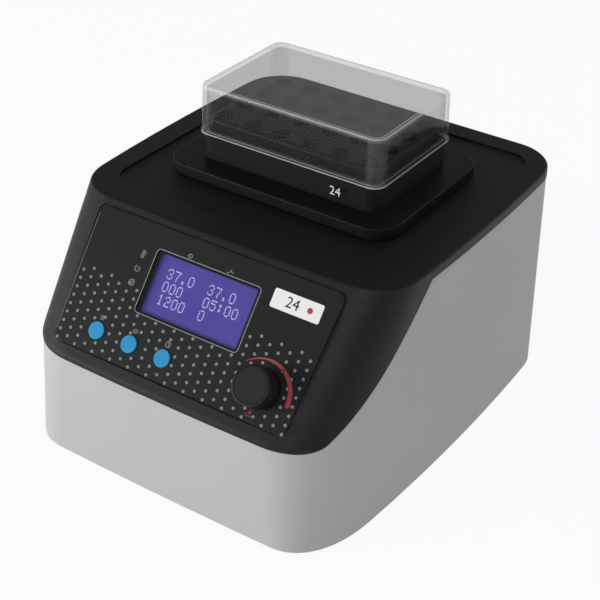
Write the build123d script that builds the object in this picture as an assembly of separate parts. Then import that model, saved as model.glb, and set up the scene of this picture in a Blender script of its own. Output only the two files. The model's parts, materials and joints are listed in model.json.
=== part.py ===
"""A bench-top thermal mixer: a heated 24-well tube block that shakes in a small circle under a clear lid.

Millimetres. The origin is the middle of the footprint on the bench, +Z is up, the sloped control
panel faces -Y and +X is to the right as seen from the front.
"""
from build123d import *
from math import cos, radians, sin, tan
import os

# Housing, overall
BASE_HALF_WIDTH = 110.3          # at the lower edge, at the widest point of the bowed sides
BASE_HALF_DEPTH = 129.7          # at the lower edge
FOOT_HEIGHT = 2.6                # bench to the lower edge of the housing
DECK_Z = 140.0                   # flat top deck
DRAFT = radians(1.0)             # moulding draft of all the walls
SIDE_BOW_RADIUS = 1400.0         # the sides bulge gently in plan
SIDE_BOW_APEX_Y = 20.0
FRONT_BOW = 0.8
SLOPE_INSET = 58.4               # from the front lower edge back to where the deck bends down
DECK_FRONT_Y = SLOPE_INSET - BASE_HALF_DEPTH
CREASE_Z = 68.6                  # where the slope meets the upright front lip
BASE_CORNER = (33.0, 50.0)       # reach of the front corners across and along the housing
CREASE_CORNER = (40.0, 46.0)
DECK_CORNER = (30.0, 30.0)
CORNER_FULLNESS = 0.59           # 0.552 gives a quarter ellipse, more gives a squarer corner
BACK_CORNER_RADIUS = 28.0
WALL = 3.0
SHELL_STEP = 0.3                 # the lower shell stands this far inside the upper one
DECK_EDGE_RADIUS = 2.0
CREASE_ROUND = 1.8               # length over which the crease is rounded, each way
CREASE_STEPS = 4

# Parting line between the two shells
FRONT_PARTING_Z = 66.2
RIM_PARTING_Z = 133.5
PARTING_RISE_INSET = 5.7         # from the front lower edge back to where the line leaves the lip
PARTING_RISE_Y = PARTING_RISE_INSET - BASE_HALF_DEPTH
PARTING_RISE_RADIUS = 27.0
PARTING_RISE_ANGLE = 32.0
PARTING_RIM_REACH = 40.3         # from the bend back to where the line meets the deck rim
PARTING_RIM_Y = DECK_FRONT_Y + PARTING_RIM_REACH
PARTING_GAP = 0.3
TONGUE_THICKNESS = 1.2
TONGUE_HEIGHT = 3.0
TONGUE_CLEARANCE = 0.2

# Deck recess and the way through it for the shaking block
RECESS_SIDE_MARGIN = 18.3
RECESS_FRONT_MARGIN = 19.3
RECESS_BACK_MARGIN = 17.2
RECESS_HALF_WIDTH = BASE_HALF_WIDTH - RECESS_SIDE_MARGIN
RECESS_FRONT_Y = DECK_FRONT_Y + RECESS_FRONT_MARGIN
RECESS_BACK_Y = BASE_HALF_DEPTH - RECESS_BACK_MARGIN
RECESS_CORNER_RADIUS = 12.0
RECESS_DEPTH = 1.2
COLLAR_WALL = 2.0
COLLAR_HEIGHT = 3.2

# Shaking drive
BLOCK_SETBACK = 2.25             # the block stands this far in front of the middle of the recess
BLOCK_CENTRE_Y = (RECESS_FRONT_Y + RECESS_BACK_Y) / 2 - BLOCK_SETBACK
ORBIT_RADIUS = 1.5
DRIVE_Y = BLOCK_CENTRE_Y - ORBIT_RADIUS
SWEEP_CLEARANCE = 1.0            # left round anything that shakes, over its whole orbit
RUNNING_CLEARANCE = 0.05
OPEN_PIVOT_CLEARANCE = 0.3
FIT_CLEARANCE = 0.2

# Thermal block and its 24 tube wells
BLOCK_HALF_WIDTH = 60.0
BLOCK_HALF_DEPTH = 39.4
BLOCK_CORNER_RADIUS = 8.0
BLOCK_BOTTOM_Z = 128.0
LID_SEAT_Z = 162.1
BLOCK_TOP_Z = 171.0
RAISED_HALF_WIDTH = 56.4
RAISED_HALF_DEPTH = 36.4
RAISED_CORNER_RADIUS = 6.0
RAISED_EDGE_RADIUS = 2.5
WELL_COLUMNS = 6
WELL_ROWS = 4
WELL_PITCH = 19.5
WELL_RADIUS = 5.5
WELL_STRAIGHT_DEPTH = 20.0
WELL_TIP_RADIUS = 2.2
WELL_DEPTH = 38.0
WELL_CHAMFER = 0.4
PROBE_HOLE_RADIUS = 1.6
PROBE_HOLE_DEPTH = 15.0
PROBE_HOLE_INSET = 4.0
FLANGE_WIDTH = 2.5
FLANGE_THICKNESS = 2.1

# Skirt round the block
SKIRT_MARGIN = 14.7
SKIRT_TOP_Z = 146.6
SKIRT_BOTTOM_Z = 140.3
SKIRT_PLATE = 3.0
SKIRT_WALL = 2.5
SKIRT_CORNER_RADIUS = 15.0
SKIRT_EDGE_RADIUS = 0.8

# Clear lid
LID_TOP_Z = 191.0
LID_HALF_WIDTH = 60.3            # at the top
LID_HALF_DEPTH = 39.9
LID_FLARE = 0.5                  # growth of each half size down to the rim
LID_CORNER_RADIUS = 7.3
LID_WALL = 2.4
LID_EDGE_RADIUS = 1.2
LID_RIM_HEIGHT = 2.0
LID_RIM_PROUD = 0.5
LID_TAB_WIDTH = 5.0
LID_TAB_X = 31.0

# Platform stack under the block
MAT_THICKNESS = 1.5
HEATER_PLATE_THICKNESS = 4.0
PAD_THICKNESS = 6.5
PLATFORM_THICKNESS = 6.0
PLATFORM_HALF_WIDTH = 62.0
PLATFORM_HALF_DEPTH = 41.0
PLATFORM_CORNER_RADIUS = 8.0
BLOCK_SCREW_X = 39.0
BLOCK_SCREW_Y = 19.5
SENSOR_RADIUS = 1.5
SENSOR_LENGTH = 16.0

# Motor deck
BASE_PLATE_THICKNESS = 1.5
BASE_PLATE_INSET = 4.4
BASE_PLATE_Z = FOOT_HEIGHT + 1.0
VENT_X = 30.0                    # middle of the air slots in the base plate
VENT_INSET = 59.7                # and their middle from the front lower edge
VENT_SLOTS = 7
VENT_PITCH = 8.0
VENT_LENGTH = 34.0
VENT_WIDTH = 3.2
MOTOR_PLATE_Z = 88.0
MOTOR_PLATE_THICKNESS = 6.0
MOTOR_PLATE_HALF_WIDTH = 66.0
MOTOR_PLATE_HALF_DEPTH = 46.0
PILLAR_X = 57.0
PILLAR_Y = 37.0
PILLAR_RADIUS = 5.0
MOTOR_RADIUS = 31.0
MOTOR_HEIGHT = 48.0
MOTOR_SCREW_RING = 22.0
MOTOR_SCREW_OFFSET = MOTOR_SCREW_RING * 0.5 ** 0.5
SHAFT_RADIUS = 5.0
PIN_RADIUS = 5.0
PIN_HEIGHT = 9.0
BEARING_OUTER_RADIUS = 11.0
COUNTERWEIGHT_RADIUS = 26.0
COUNTERWEIGHT_THICKNESS = 8.0
IDLER_X = 46.0
IDLER_Y = 28.0
IDLER_SHAFT_RADIUS = 3.0
IDLER_WEB_RADIUS = 6.5
IDLER_WEB_THICKNESS = 5.0
IDLER_BEARING_RADIUS = 6.5

# Screws
M4_RADIUS = 2.0
M4_HEAD_RADIUS = 3.5
M4_HEAD_HEIGHT = 2.4
M3_RADIUS = 1.5
M3_HEAD_RADIUS = 2.75
M3_HEAD_HEIGHT = 2.0
SCREW_CLEARANCE = 0.05
HEAD_RECESS = 2.6
COLUMN_FRONT_INSET = (22.3, 77.7)   # in from the widest side and from the front or back lower edge
COLUMN_BACK_INSET = (16.3, 29.7)
COLUMN_FRONT = (BASE_HALF_WIDTH - COLUMN_FRONT_INSET[0], COLUMN_FRONT_INSET[1] - BASE_HALF_DEPTH)
COLUMN_BACK = (BASE_HALF_WIDTH - COLUMN_BACK_INSET[0], BASE_HALF_DEPTH - COLUMN_BACK_INSET[1])
COLUMN_RADIUS = 5.5
COLUMN_JOINT_Z = 84.0
COLUMN_THREAD_DEPTH = 12.0
FOOT_SIDE_INSET = 34.3
FOOT_FRONT_INSET = 45.7
FOOT_BACK_INSET = 37.7
FOOT_X = BASE_HALF_WIDTH - FOOT_SIDE_INSET
FOOT_FRONT_Y = FOOT_FRONT_INSET - BASE_HALF_DEPTH
FOOT_BACK_Y = BASE_HALF_DEPTH - FOOT_BACK_INSET
FOOT_RADIUS = 10.0
FOOT_RECESS = 2.4

# Control panel, in slope coordinates: across, and down from the bend
PANEL_TOP_CORNERS = (-80.0, 81.6, 4.7)       # left, right and down, of the sheet itself
PANEL_BOTTOM_CORNERS = (-77.9, 77.6, 83.2)
PANEL_CORNER_RADIUS = 4.5
PANEL_THICKNESS = 1.2
PANEL_GROOVE = 1.4
PANEL_RECESS = 1.5
WINDOW_HALF_WIDTH = 34.0
WINDOW_HALF_HEIGHT = 17.9
WINDOW_DOWN = 35.1
WINDOW_CORNER_RADIUS = 2.0
WINDOW_THICKNESS = 1.0
SCREEN_HALF_WIDTH = 30.8
SCREEN_HALF_HEIGHT = 16.6
SCREEN_DEPTH = 3.6
MODULE_THICKNESS = 6.0
MODULE_MARGIN = 3.5
BUTTON_X = (-52.0, -29.2, -6.4)
BUTTON_DOWN = 71.0
BUTTON_RADIUS = 5.0
BUTTON_PROUD = 0.5
BUTTON_TRAVEL = 0.8
BUTTON_CLEARANCE = 0.25
BUTTON_FLANGE_RADIUS = 6.4
BUTTON_FLANGE_DROP = 0.8         # from the inner wall face to the top of the flange
KNOB_X = 56.2
KNOB_DOWN = 65.0
KNOB_RADIUS = 11.0
KNOB_HEIGHT = 12.5
KNOB_LIFT = 0.9                  # gap under the knob, a little more than its push
KNOB_CAP_RADIUS = 9.4
KNOB_CAP_THICKNESS = 1.4
ENCODER_SHAFT_RADIUS = 3.0
ENCODER_BODY = 13.0
BADGE_X = 57.3
BADGE_DOWN = 18.9
BADGE_HALF_WIDTH = 15.2
BADGE_HALF_HEIGHT = 5.2
BADGE_THICKNESS = 0.4
BOARD_DEPTH = 14.0
BOARD_THICKNESS = 1.6
BOARD_HALF_WIDTH = 74.0
BOARD_TOP = 12.0
BOARD_BOTTOM = 81.0
BOARD_POST_RADIUS = 3.2
BOARD_POST_X = 70.0

# Rear panel
REAR_SEAT_INSET = 1.3            # from the back lower edge in to the seat of the inlet and the switch
REAR_SEAT_Y = BASE_HALF_DEPTH - REAR_SEAT_INSET
REAR_FLANGE_THICKNESS = 1.8
INLET_X = -62.0
INLET_Z = 40.0
INLET_HALF_WIDTH = 14.5
INLET_HALF_HEIGHT = 16.5
INLET_DEPTH = 24.0
SOCKET_HALF_WIDTH = 11.9
SOCKET_HALF_HEIGHT = 7.9
SOCKET_DEPTH = 17.0
SOCKET_RISE = 6.6                # centre of the socket above the middle of the inlet
DRAWER_DROP = 9.6                # centre of the fuse drawer below it
DRAWER_HALF_WIDTH = 9.5
DRAWER_HALF_HEIGHT = 3.6
DRAWER_DEPTH = 17.0
DRAWER_TRAVEL = 18.0
FUSE_RADIUS = 2.4
SWITCH_X = -20.0
SWITCH_Z = 40.0
SWITCH_HALF_WIDTH = 7.5
SWITCH_HALF_HEIGHT = 11.0
SWITCH_DEPTH = 18.0
ROCKER_HALF_WIDTH = 5.6
ROCKER_HALF_HEIGHT = 8.6
ROCKER_TILT = 10.0
FAN_X = 56.0
FAN_Z = 56.0
FAN_HALF_SIZE = 30.0
FAN_THICKNESS = 15.0
FAN_HOLE_RADIUS = 28.0
FAN_HUB_RADIUS = 11.5
FAN_BLADES = 7
FAN_SCREW_SPACING = 50.0
FAN_INSET = 5.8                  # from the rear seat in to the back of the fan
FAN_REAR_Y = REAR_SEAT_Y - FAN_INSET
GRILLE_SLOTS = 9
GRILLE_PITCH = 6.0
GRILLE_SLOT = 3.0

# Power board
POWER_BOARD_INSET = 27.3         # from the widest side in to the middle of the board
POWER_BOARD_X = POWER_BOARD_INSET - BASE_HALF_WIDTH
POWER_BOARD_Y = 8.0
POWER_BOARD_HALF_WIDTH = 14.0
POWER_BOARD_HALF_LENGTH = 52.0
LARGE_CAPACITOR_INSET = 25.0     # these four in from the nearer end of the board
SMALL_CAPACITOR_INSET = 12.0
HEAT_SINK_INSET = 18.0
TERMINAL_INSET = 2.2
STANDOFF_HEIGHT = 6.0
STANDOFF_RADIUS = 2.6

FROM_BASE = (Align.CENTER, Align.CENTER, Align.MIN)
FROM_TOP = (Align.CENTER, Align.CENTER, Align.MAX)
SIDES = (-1, 1)
REACH = 400.0                    # longer than any piece, for cutting right through

front_lip_y = -(BASE_HALF_DEPTH - (CREASE_Z - FOOT_HEIGHT) * tan(DRAFT))
slope_tangent = (DECK_Z - CREASE_Z) / (DECK_FRONT_Y - front_lip_y)
slope_run = DECK_FRONT_Y - front_lip_y
slope_length = (slope_run ** 2 + (DECK_Z - CREASE_Z) ** 2) ** 0.5
slope_sin = (DECK_Z - CREASE_Z) / slope_length
slope_cos = slope_run / slope_length
SLOPE = Plane(origin=(0, DECK_FRONT_Y, DECK_Z), x_dir=(1, 0, 0), z_dir=(0, -slope_sin, slope_cos)).location
REAR = Plane(origin=(0, REAR_SEAT_Y, 0), x_dir=(-1, 0, 0), z_dir=(0, 1, 0)).location

base_top_z = BASE_PLATE_Z + BASE_PLATE_THICKNESS
recess_floor_z = DECK_Z - RECESS_DEPTH
skirt_plate_z = SKIRT_TOP_Z - SKIRT_PLATE
heater_plate_top_z = BLOCK_BOTTOM_Z - MAT_THICKNESS
pad_top_z = heater_plate_top_z - HEATER_PLATE_THICKNESS
platform_top_z = pad_top_z - PAD_THICKNESS
platform_z = platform_top_z - PLATFORM_THICKNESS
motor_top_z = MOTOR_PLATE_Z + MOTOR_PLATE_THICKNESS


def down_slope(across, down, depth=0.0):
    """Place on the control slope, with +Z out of the panel and +Y up the slope."""
    return SLOPE * Pos(across, -down, -depth)


def on_rear(across, height, depth=0.0):
    """Place on the rear seat plane, with +Z pointing out of the back and +Y up."""
    return REAR * Pos(-across, height, -depth)


def level_outline(z, front_y, corner, inset):
    """Plan outline of the housing at a height: bowed sides and long front corners."""
    draft = (z - FOOT_HEIGHT) * tan(DRAFT)
    half_width = BASE_HALF_WIDTH - draft - inset
    back_y = BASE_HALF_DEPTH - draft - inset

    def side(y):
        return half_width - (y - SIDE_BOW_APEX_Y) ** 2 / (2 * SIDE_BOW_RADIUS)

    across = corner[0] - inset
    along = corner[1] - inset
    side_y = front_y + along
    side_x = side(side_y)
    front_x = side_x - across
    back_x = side(back_y)
    front_lean = 2 * FRONT_BOW / front_x
    side_lean = -(side_y - SIDE_BOW_APEX_Y) / SIDE_BOW_RADIUS
    front_pull = CORNER_FULLNESS * across
    side_pull = CORNER_FULLNESS * along
    edges = [
        ThreePointArc((-front_x, front_y + FRONT_BOW), (0, front_y), (front_x, front_y + FRONT_BOW)),
        ThreePointArc((side_x, side_y), (half_width, SIDE_BOW_APEX_Y), (back_x, back_y)),
        Line((back_x, back_y), (-back_x, back_y)),
        ThreePointArc((-back_x, back_y), (-half_width, SIDE_BOW_APEX_Y), (-side_x, side_y)),
    ]
    for side_sign in SIDES:
        edges.append(Bezier(
            (side_sign * front_x, front_y + FRONT_BOW),
            (side_sign * (front_x + front_pull), front_y + FRONT_BOW + front_pull * front_lean),
            (side_sign * (side_x - side_pull * side_lean), side_y - side_pull),
            (side_sign * side_x, side_y)))
    face = make_face(edges)
    corners = face.vertices().sort_by(Axis.Y)
    face = fillet(corners[-2:], BACK_CORNER_RADIUS - inset)
    return Pos(0, 0, z) * face.face()


def hull(inset, top_z):
    """The whole housing form, drawn in by an inset, up to a height at or below the deck."""
    crease_y = front_lip_y + inset
    top_y = DECK_FRONT_Y - (DECK_Z - top_z) / slope_tangent + inset / slope_sin
    crease_z = top_z - (top_y - crease_y) * slope_tangent
    low_z = FOOT_HEIGHT - 1.0 if inset > SHELL_STEP else FOOT_HEIGHT
    low_y = crease_y - (crease_z - low_z) * tan(DRAFT)
    sections = [level_outline(low_z, low_y, BASE_CORNER, inset)]
    below = (-CREASE_ROUND * sin(DRAFT), -CREASE_ROUND * cos(DRAFT))
    above = (CREASE_ROUND * slope_cos, CREASE_ROUND * slope_sin)
    for step in range(CREASE_STEPS + 1):
        t = step / CREASE_STEPS
        y = crease_y + (1 - t) ** 2 * below[0] + t ** 2 * above[0]
        z = crease_z + (1 - t) ** 2 * below[1] + t ** 2 * above[1]
        sections.append(level_outline(z, y, CREASE_CORNER, inset))
    sections.append(level_outline(top_z, top_y, DECK_CORNER, inset))
    return loft(sections, ruled=True)


def panel_outline(grow):
    """Outline of the printed sheet on the slope, a little wider at the top, grown by a margin."""
    left_top, right_top, top = PANEL_TOP_CORNERS
    left_bottom, right_bottom, bottom = PANEL_BOTTOM_CORNERS
    outline = Polyline((left_top, -top), (right_top, -top), (right_bottom, -bottom), (left_bottom, -bottom),
                       (left_top, -top))
    face = make_face(outline)
    face = fillet(face.vertices(), PANEL_CORNER_RADIUS)
    return offset(face, amount=grow) if grow else face


def above_parting(lift):
    """Everything above the parting line, which is raised by a lift."""
    low = (PARTING_RISE_Y, FRONT_PARTING_Z + lift)
    rim = (PARTING_RIM_Y, RIM_PARTING_Z + lift)
    rise = JernArc(low, (1, 0), PARTING_RISE_RADIUS, PARTING_RISE_ANGLE)
    sweep_up = TangentArc(rise @ 1, rim, tangent=rise % 1)
    edges = [
        Line((-REACH, low[1]), low),
        rise,
        sweep_up,
        Line(rim, (REACH, rim[1])),
        Line((REACH, rim[1]), (REACH, REACH)),
        Line((REACH, REACH), (-REACH, REACH)),
        Line((-REACH, REACH), (-REACH, low[1])),
    ]
    return extrude(Plane.YZ * make_face(edges), REACH, both=True)


def rounded_block(half_width, half_depth, corner, z_low, z_high, centre_y):
    """An upright block with rounded corners, centred on x = 0."""
    return Pos(0, centre_y, z_low) * extrude(RectangleRounded(2 * half_width, 2 * half_depth, corner), z_high - z_low)


def corners_of(x, y):
    return [(side_x * x, side_y * y) for side_y in SIDES for side_x in SIDES]


def screw(radius, length, head_radius, head_height, socket=False):
    """A screw that points down, with the underside of its head at z = 0."""
    body = Cylinder(radius, length, align=FROM_TOP) + Cylinder(head_radius, head_height, align=FROM_BASE)
    if socket:
        hexagon = extrude(RegularPolygon(0.55 * head_radius, 6), 0.6 * head_height)
        body -= Pos(0, 0, 0.4 * head_height) * hexagon
    return body


def ring(outer, inner, height):
    return Cylinder(outer, height, align=FROM_BASE) - Cylinder(inner, height, align=FROM_BASE)


def group(solids):
    return Compound(children=[item.solid() for item in solids])


def save(name, shape):
    export_step(shape, "parts/" + name + ".step")


COLUMNS = [(side * x, y) for x, y in (COLUMN_FRONT, COLUMN_BACK) for side in SIDES]
FEET = [(side * FOOT_X, y) for y in (FOOT_FRONT_Y, FOOT_BACK_Y) for side in SIDES]
PILLARS = [(x, DRIVE_Y + y) for x, y in corners_of(PILLAR_X, PILLAR_Y)]
IDLERS = [(x, DRIVE_Y + y) for x, y in corners_of(IDLER_X, IDLER_Y)]
BOARD_POSTS = [(side * BOARD_POST_X, down) for down in (BOARD_TOP + 4, BOARD_BOTTOM - 4) for side in SIDES]
OPENING_HALF_WIDTH = BLOCK_HALF_WIDTH + FLANGE_WIDTH + ORBIT_RADIUS + SWEEP_CLEARANCE
OPENING_HALF_DEPTH = BLOCK_HALF_DEPTH + FLANGE_WIDTH + ORBIT_RADIUS + SWEEP_CLEARANCE


def upper_housing():
    """Black top shell: deck, control slope, rim and cheeks."""
    outer = hull(0, DECK_Z)
    rim_edges = outer.edges().filter_by(lambda e: abs(e.center().Z - DECK_Z) < 0.01)
    outer = fillet(rim_edges, DECK_EDGE_RADIUS)
    shell = (outer - hull(WALL, DECK_Z - WALL)) & above_parting(0)
    recess_depth = RECESS_BACK_Y - RECESS_FRONT_Y
    recess = rounded_block(RECESS_HALF_WIDTH, recess_depth / 2, RECESS_CORNER_RADIUS, recess_floor_z, DECK_Z + 1,
                           (RECESS_BACK_Y + RECESS_FRONT_Y) / 2)
    shell -= recess
    collar_low = DECK_Z - WALL - 1.5
    collar_high = recess_floor_z + COLLAR_HEIGHT
    shell += rounded_block(OPENING_HALF_WIDTH + COLLAR_WALL, OPENING_HALF_DEPTH + COLLAR_WALL,
                           BLOCK_CORNER_RADIUS + COLLAR_WALL, collar_low, collar_high, DRIVE_Y)
    shell -= rounded_block(OPENING_HALF_WIDTH, OPENING_HALF_DEPTH, BLOCK_CORNER_RADIUS, collar_low - 1,
                           collar_high + 1, DRIVE_Y)
    for x, y in COLUMNS:
        height = DECK_Z - WALL / 2 - RECESS_DEPTH - COLUMN_JOINT_Z
        shell += Pos(x, y, COLUMN_JOINT_Z) * Cylinder(COLUMN_RADIUS, height, align=FROM_BASE)
        bore = Cylinder(M4_RADIUS + SCREW_CLEARANCE, COLUMN_THREAD_DEPTH + 2, align=FROM_BASE)
        shell -= Pos(x, y, COLUMN_JOINT_Z) * bore
    for across, down in BOARD_POSTS:
        post = Cylinder(BOARD_POST_RADIUS, BOARD_DEPTH - 2.2, align=FROM_BASE)
        shell += down_slope(across, down, BOARD_DEPTH) * post
        shell -= down_slope(across, down, BOARD_DEPTH) * Cylinder(M3_RADIUS + SCREW_CLEARANCE, 7, align=FROM_BASE)
    shell -= down_slope(0, 0, PANEL_RECESS) * extrude(panel_outline(PANEL_GROOVE), 5)
    window = RectangleRounded(2 * WINDOW_HALF_WIDTH - 3, 2 * WINDOW_HALF_HEIGHT - 2, WINDOW_CORNER_RADIUS)
    shell -= down_slope(0, WINDOW_DOWN, WALL + 1) * extrude(window, 10)
    for x in BUTTON_X:
        shell -= down_slope(x, BUTTON_DOWN, WALL + 1) * Cylinder(BUTTON_RADIUS + BUTTON_CLEARANCE, 10, align=FROM_BASE)
    shell -= down_slope(KNOB_X, KNOB_DOWN, WALL + 1) * Cylinder(ENCODER_SHAFT_RADIUS + 1.5, 10, align=FROM_BASE)
    return shell


def lower_housing():
    """Light grey shell: four walls, columns for the long screws, rear cut-outs and the fan grille."""
    outer = hull(SHELL_STEP, DECK_Z - SHELL_STEP)
    shell = (outer - hull(SHELL_STEP + WALL, DECK_Z)) - above_parting(-PARTING_GAP)
    tongue_outer = WALL + TONGUE_CLEARANCE
    tongue = hull(tongue_outer, DECK_Z - tongue_outer) - hull(tongue_outer + TONGUE_THICKNESS, DECK_Z)
    shell += (tongue & above_parting(-TONGUE_HEIGHT - 1.0)) - above_parting(TONGUE_HEIGHT)
    for x, y in COLUMNS:
        height = COLUMN_JOINT_Z - base_top_z
        side = 1 if x > 0 else -1
        wall_x = BASE_HALF_WIDTH - SHELL_STEP - WALL - (y - SIDE_BOW_APEX_Y) ** 2 / (2 * SIDE_BOW_RADIUS) + 0.8
        web = Box(wall_x - abs(x), 2.4, height, align=(Align.MIN, Align.CENTER, Align.MIN))
        shell += Pos(x, y, base_top_z) * Cylinder(COLUMN_RADIUS, height, align=FROM_BASE)
        shell += Pos(x, y, base_top_z) * Rot(0, 0, 0 if side > 0 else 180) * web
        shell -= Pos(x, y, base_top_z) * Cylinder(M4_RADIUS + SCREW_CLEARANCE, height, align=FROM_BASE)
    inlet_flange = Box(2 * INLET_HALF_WIDTH + 6 + 0.6, 2 * INLET_HALF_HEIGHT + 4 + 0.6, 5, align=FROM_BASE)
    inlet_hole = Box(2 * INLET_HALF_WIDTH + 0.4, 2 * INLET_HALF_HEIGHT + 0.4, 30, align=FROM_TOP)
    shell -= on_rear(INLET_X, INLET_Z) * inlet_flange
    shell -= on_rear(INLET_X, INLET_Z) * inlet_hole
    switch_flange = Box(2 * SWITCH_HALF_WIDTH + 4 + 0.6, 2 * SWITCH_HALF_HEIGHT + 4 + 0.6, 5, align=FROM_BASE)
    switch_hole = Box(2 * SWITCH_HALF_WIDTH + 0.4, 2 * SWITCH_HALF_HEIGHT + 0.4, 30, align=FROM_TOP)
    shell -= on_rear(SWITCH_X, SWITCH_Z) * switch_flange
    shell -= on_rear(SWITCH_X, SWITCH_Z) * switch_hole
    for index in range(GRILLE_SLOTS):
        rise = (index - (GRILLE_SLOTS - 1) / 2) * GRILLE_PITCH
        length = 2 * (FAN_HOLE_RADIUS ** 2 - rise ** 2) ** 0.5
        slot = extrude(SlotOverall(length, GRILLE_SLOT), 12, both=True)
        shell -= on_rear(FAN_X, FAN_Z + rise) * slot
    for x, z in corners_of(FAN_SCREW_SPACING / 2, FAN_SCREW_SPACING / 2):
        place = on_rear(FAN_X + x, FAN_Z + z, REAR_SEAT_Y - FAN_REAR_Y)
        shell += place * Cylinder(3.6, 4.0, align=FROM_BASE)
        shell -= place * Cylinder(M3_RADIUS + SCREW_CLEARANCE, 4.0, align=FROM_BASE)
    return shell


def base_plate():
    outline = level_outline(BASE_PLATE_Z, -(BASE_HALF_DEPTH - BASE_PLATE_INSET), BASE_CORNER, BASE_PLATE_INSET)
    plate = extrude(outline, BASE_PLATE_THICKNESS)
    for x, y in COLUMNS + FEET + PILLARS:
        plate -= Pos(x, y, BASE_PLATE_Z) * Cylinder(M4_RADIUS + SCREW_CLEARANCE, 10)
    for index in range(VENT_SLOTS):
        x = VENT_X + (index - (VENT_SLOTS - 1) / 2) * VENT_PITCH
        slot = extrude(SlotOverall(VENT_LENGTH, VENT_WIDTH, rotation=90), 10, both=True)
        plate -= Pos(x, VENT_INSET - BASE_HALF_DEPTH, BASE_PLATE_Z) * slot
    return plate


def rubber_foot():
    foot = Cone(FOOT_RADIUS - 0.8, FOOT_RADIUS, BASE_PLATE_Z, align=FROM_BASE)
    foot -= Cylinder(M4_HEAD_RADIUS + 0.6, 1.2, align=FROM_BASE)
    foot -= Cylinder(M4_RADIUS + SCREW_CLEARANCE, 10)
    foot -= Cylinder(M4_HEAD_RADIUS + SCREW_CLEARANCE, FOOT_RECESS, align=FROM_BASE)
    return foot


def thermal_block():
    """Aluminium block: lower part with a flange, raised part with the wells, and a probe hole."""
    block = rounded_block(BLOCK_HALF_WIDTH, BLOCK_HALF_DEPTH, BLOCK_CORNER_RADIUS, BLOCK_BOTTOM_Z, LID_SEAT_Z,
                          BLOCK_CENTRE_Y)
    raised = rounded_block(RAISED_HALF_WIDTH, RAISED_HALF_DEPTH, RAISED_CORNER_RADIUS, LID_SEAT_Z, BLOCK_TOP_Z,
                           BLOCK_CENTRE_Y)
    raised = fillet(raised.faces().sort_by(Axis.Z)[-1].edges(), RAISED_EDGE_RADIUS)
    block += raised
    flange_z = skirt_plate_z - FLANGE_THICKNESS
    block += rounded_block(BLOCK_HALF_WIDTH + FLANGE_WIDTH, BLOCK_HALF_DEPTH + FLANGE_WIDTH,
                           BLOCK_CORNER_RADIUS + FLANGE_WIDTH, flange_z, skirt_plate_z, BLOCK_CENTRE_Y)
    profile = Polyline(
        (0, 0.5), (WELL_RADIUS + WELL_CHAMFER + 0.5, 0.5), (WELL_RADIUS + WELL_CHAMFER, 0), (WELL_RADIUS, -WELL_CHAMFER),
        (WELL_RADIUS, -WELL_STRAIGHT_DEPTH), (WELL_TIP_RADIUS, -WELL_DEPTH), (0, -WELL_DEPTH), (0, 0.5))
    well = revolve(Plane.XZ * make_face(profile), Axis.Z)
    for row in range(WELL_ROWS):
        for column in range(WELL_COLUMNS):
            x = (column - (WELL_COLUMNS - 1) / 2) * WELL_PITCH
            y = BLOCK_CENTRE_Y + (row - (WELL_ROWS - 1) / 2) * WELL_PITCH
            block -= Pos(x, y, BLOCK_TOP_Z) * well
    probe_x = -(RAISED_HALF_WIDTH - PROBE_HOLE_INSET)
    block -= Pos(probe_x, BLOCK_CENTRE_Y + WELL_PITCH, BLOCK_TOP_Z) * Cylinder(
        PROBE_HOLE_RADIUS, PROBE_HOLE_DEPTH, align=FROM_TOP)
    for x, y in corners_of(BLOCK_SCREW_X, BLOCK_SCREW_Y):
        block -= Pos(x, BLOCK_CENTRE_Y + y, BLOCK_BOTTOM_Z) * Cylinder(M4_RADIUS + SCREW_CLEARANCE, 10, align=FROM_BASE)
    block -= Pos(0, BLOCK_CENTRE_Y, BLOCK_BOTTOM_Z) * Cylinder(SENSOR_RADIUS + SCREW_CLEARANCE, 10, align=FROM_BASE)
    return block


def platform_skirt():
    """Black cover that hangs over the collar of the deck opening and shakes with the block."""
    half_width = LID_HALF_WIDTH + SKIRT_MARGIN
    half_depth = LID_HALF_DEPTH + SKIRT_MARGIN
    skirt = rounded_block(half_width, half_depth, SKIRT_CORNER_RADIUS, SKIRT_BOTTOM_Z, SKIRT_TOP_Z, BLOCK_CENTRE_Y)
    skirt = fillet(skirt.faces().sort_by(Axis.Z)[-1].edges(), SKIRT_EDGE_RADIUS)
    skirt -= rounded_block(half_width - SKIRT_WALL, half_depth - SKIRT_WALL, SKIRT_CORNER_RADIUS - SKIRT_WALL,
                           SKIRT_BOTTOM_Z - 1, skirt_plate_z, BLOCK_CENTRE_Y)
    skirt -= rounded_block(BLOCK_HALF_WIDTH + FIT_CLEARANCE, BLOCK_HALF_DEPTH + FIT_CLEARANCE,
                           BLOCK_CORNER_RADIUS + FIT_CLEARANCE, SKIRT_BOTTOM_Z, SKIRT_TOP_Z + 1, BLOCK_CENTRE_Y)
    return skirt


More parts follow.
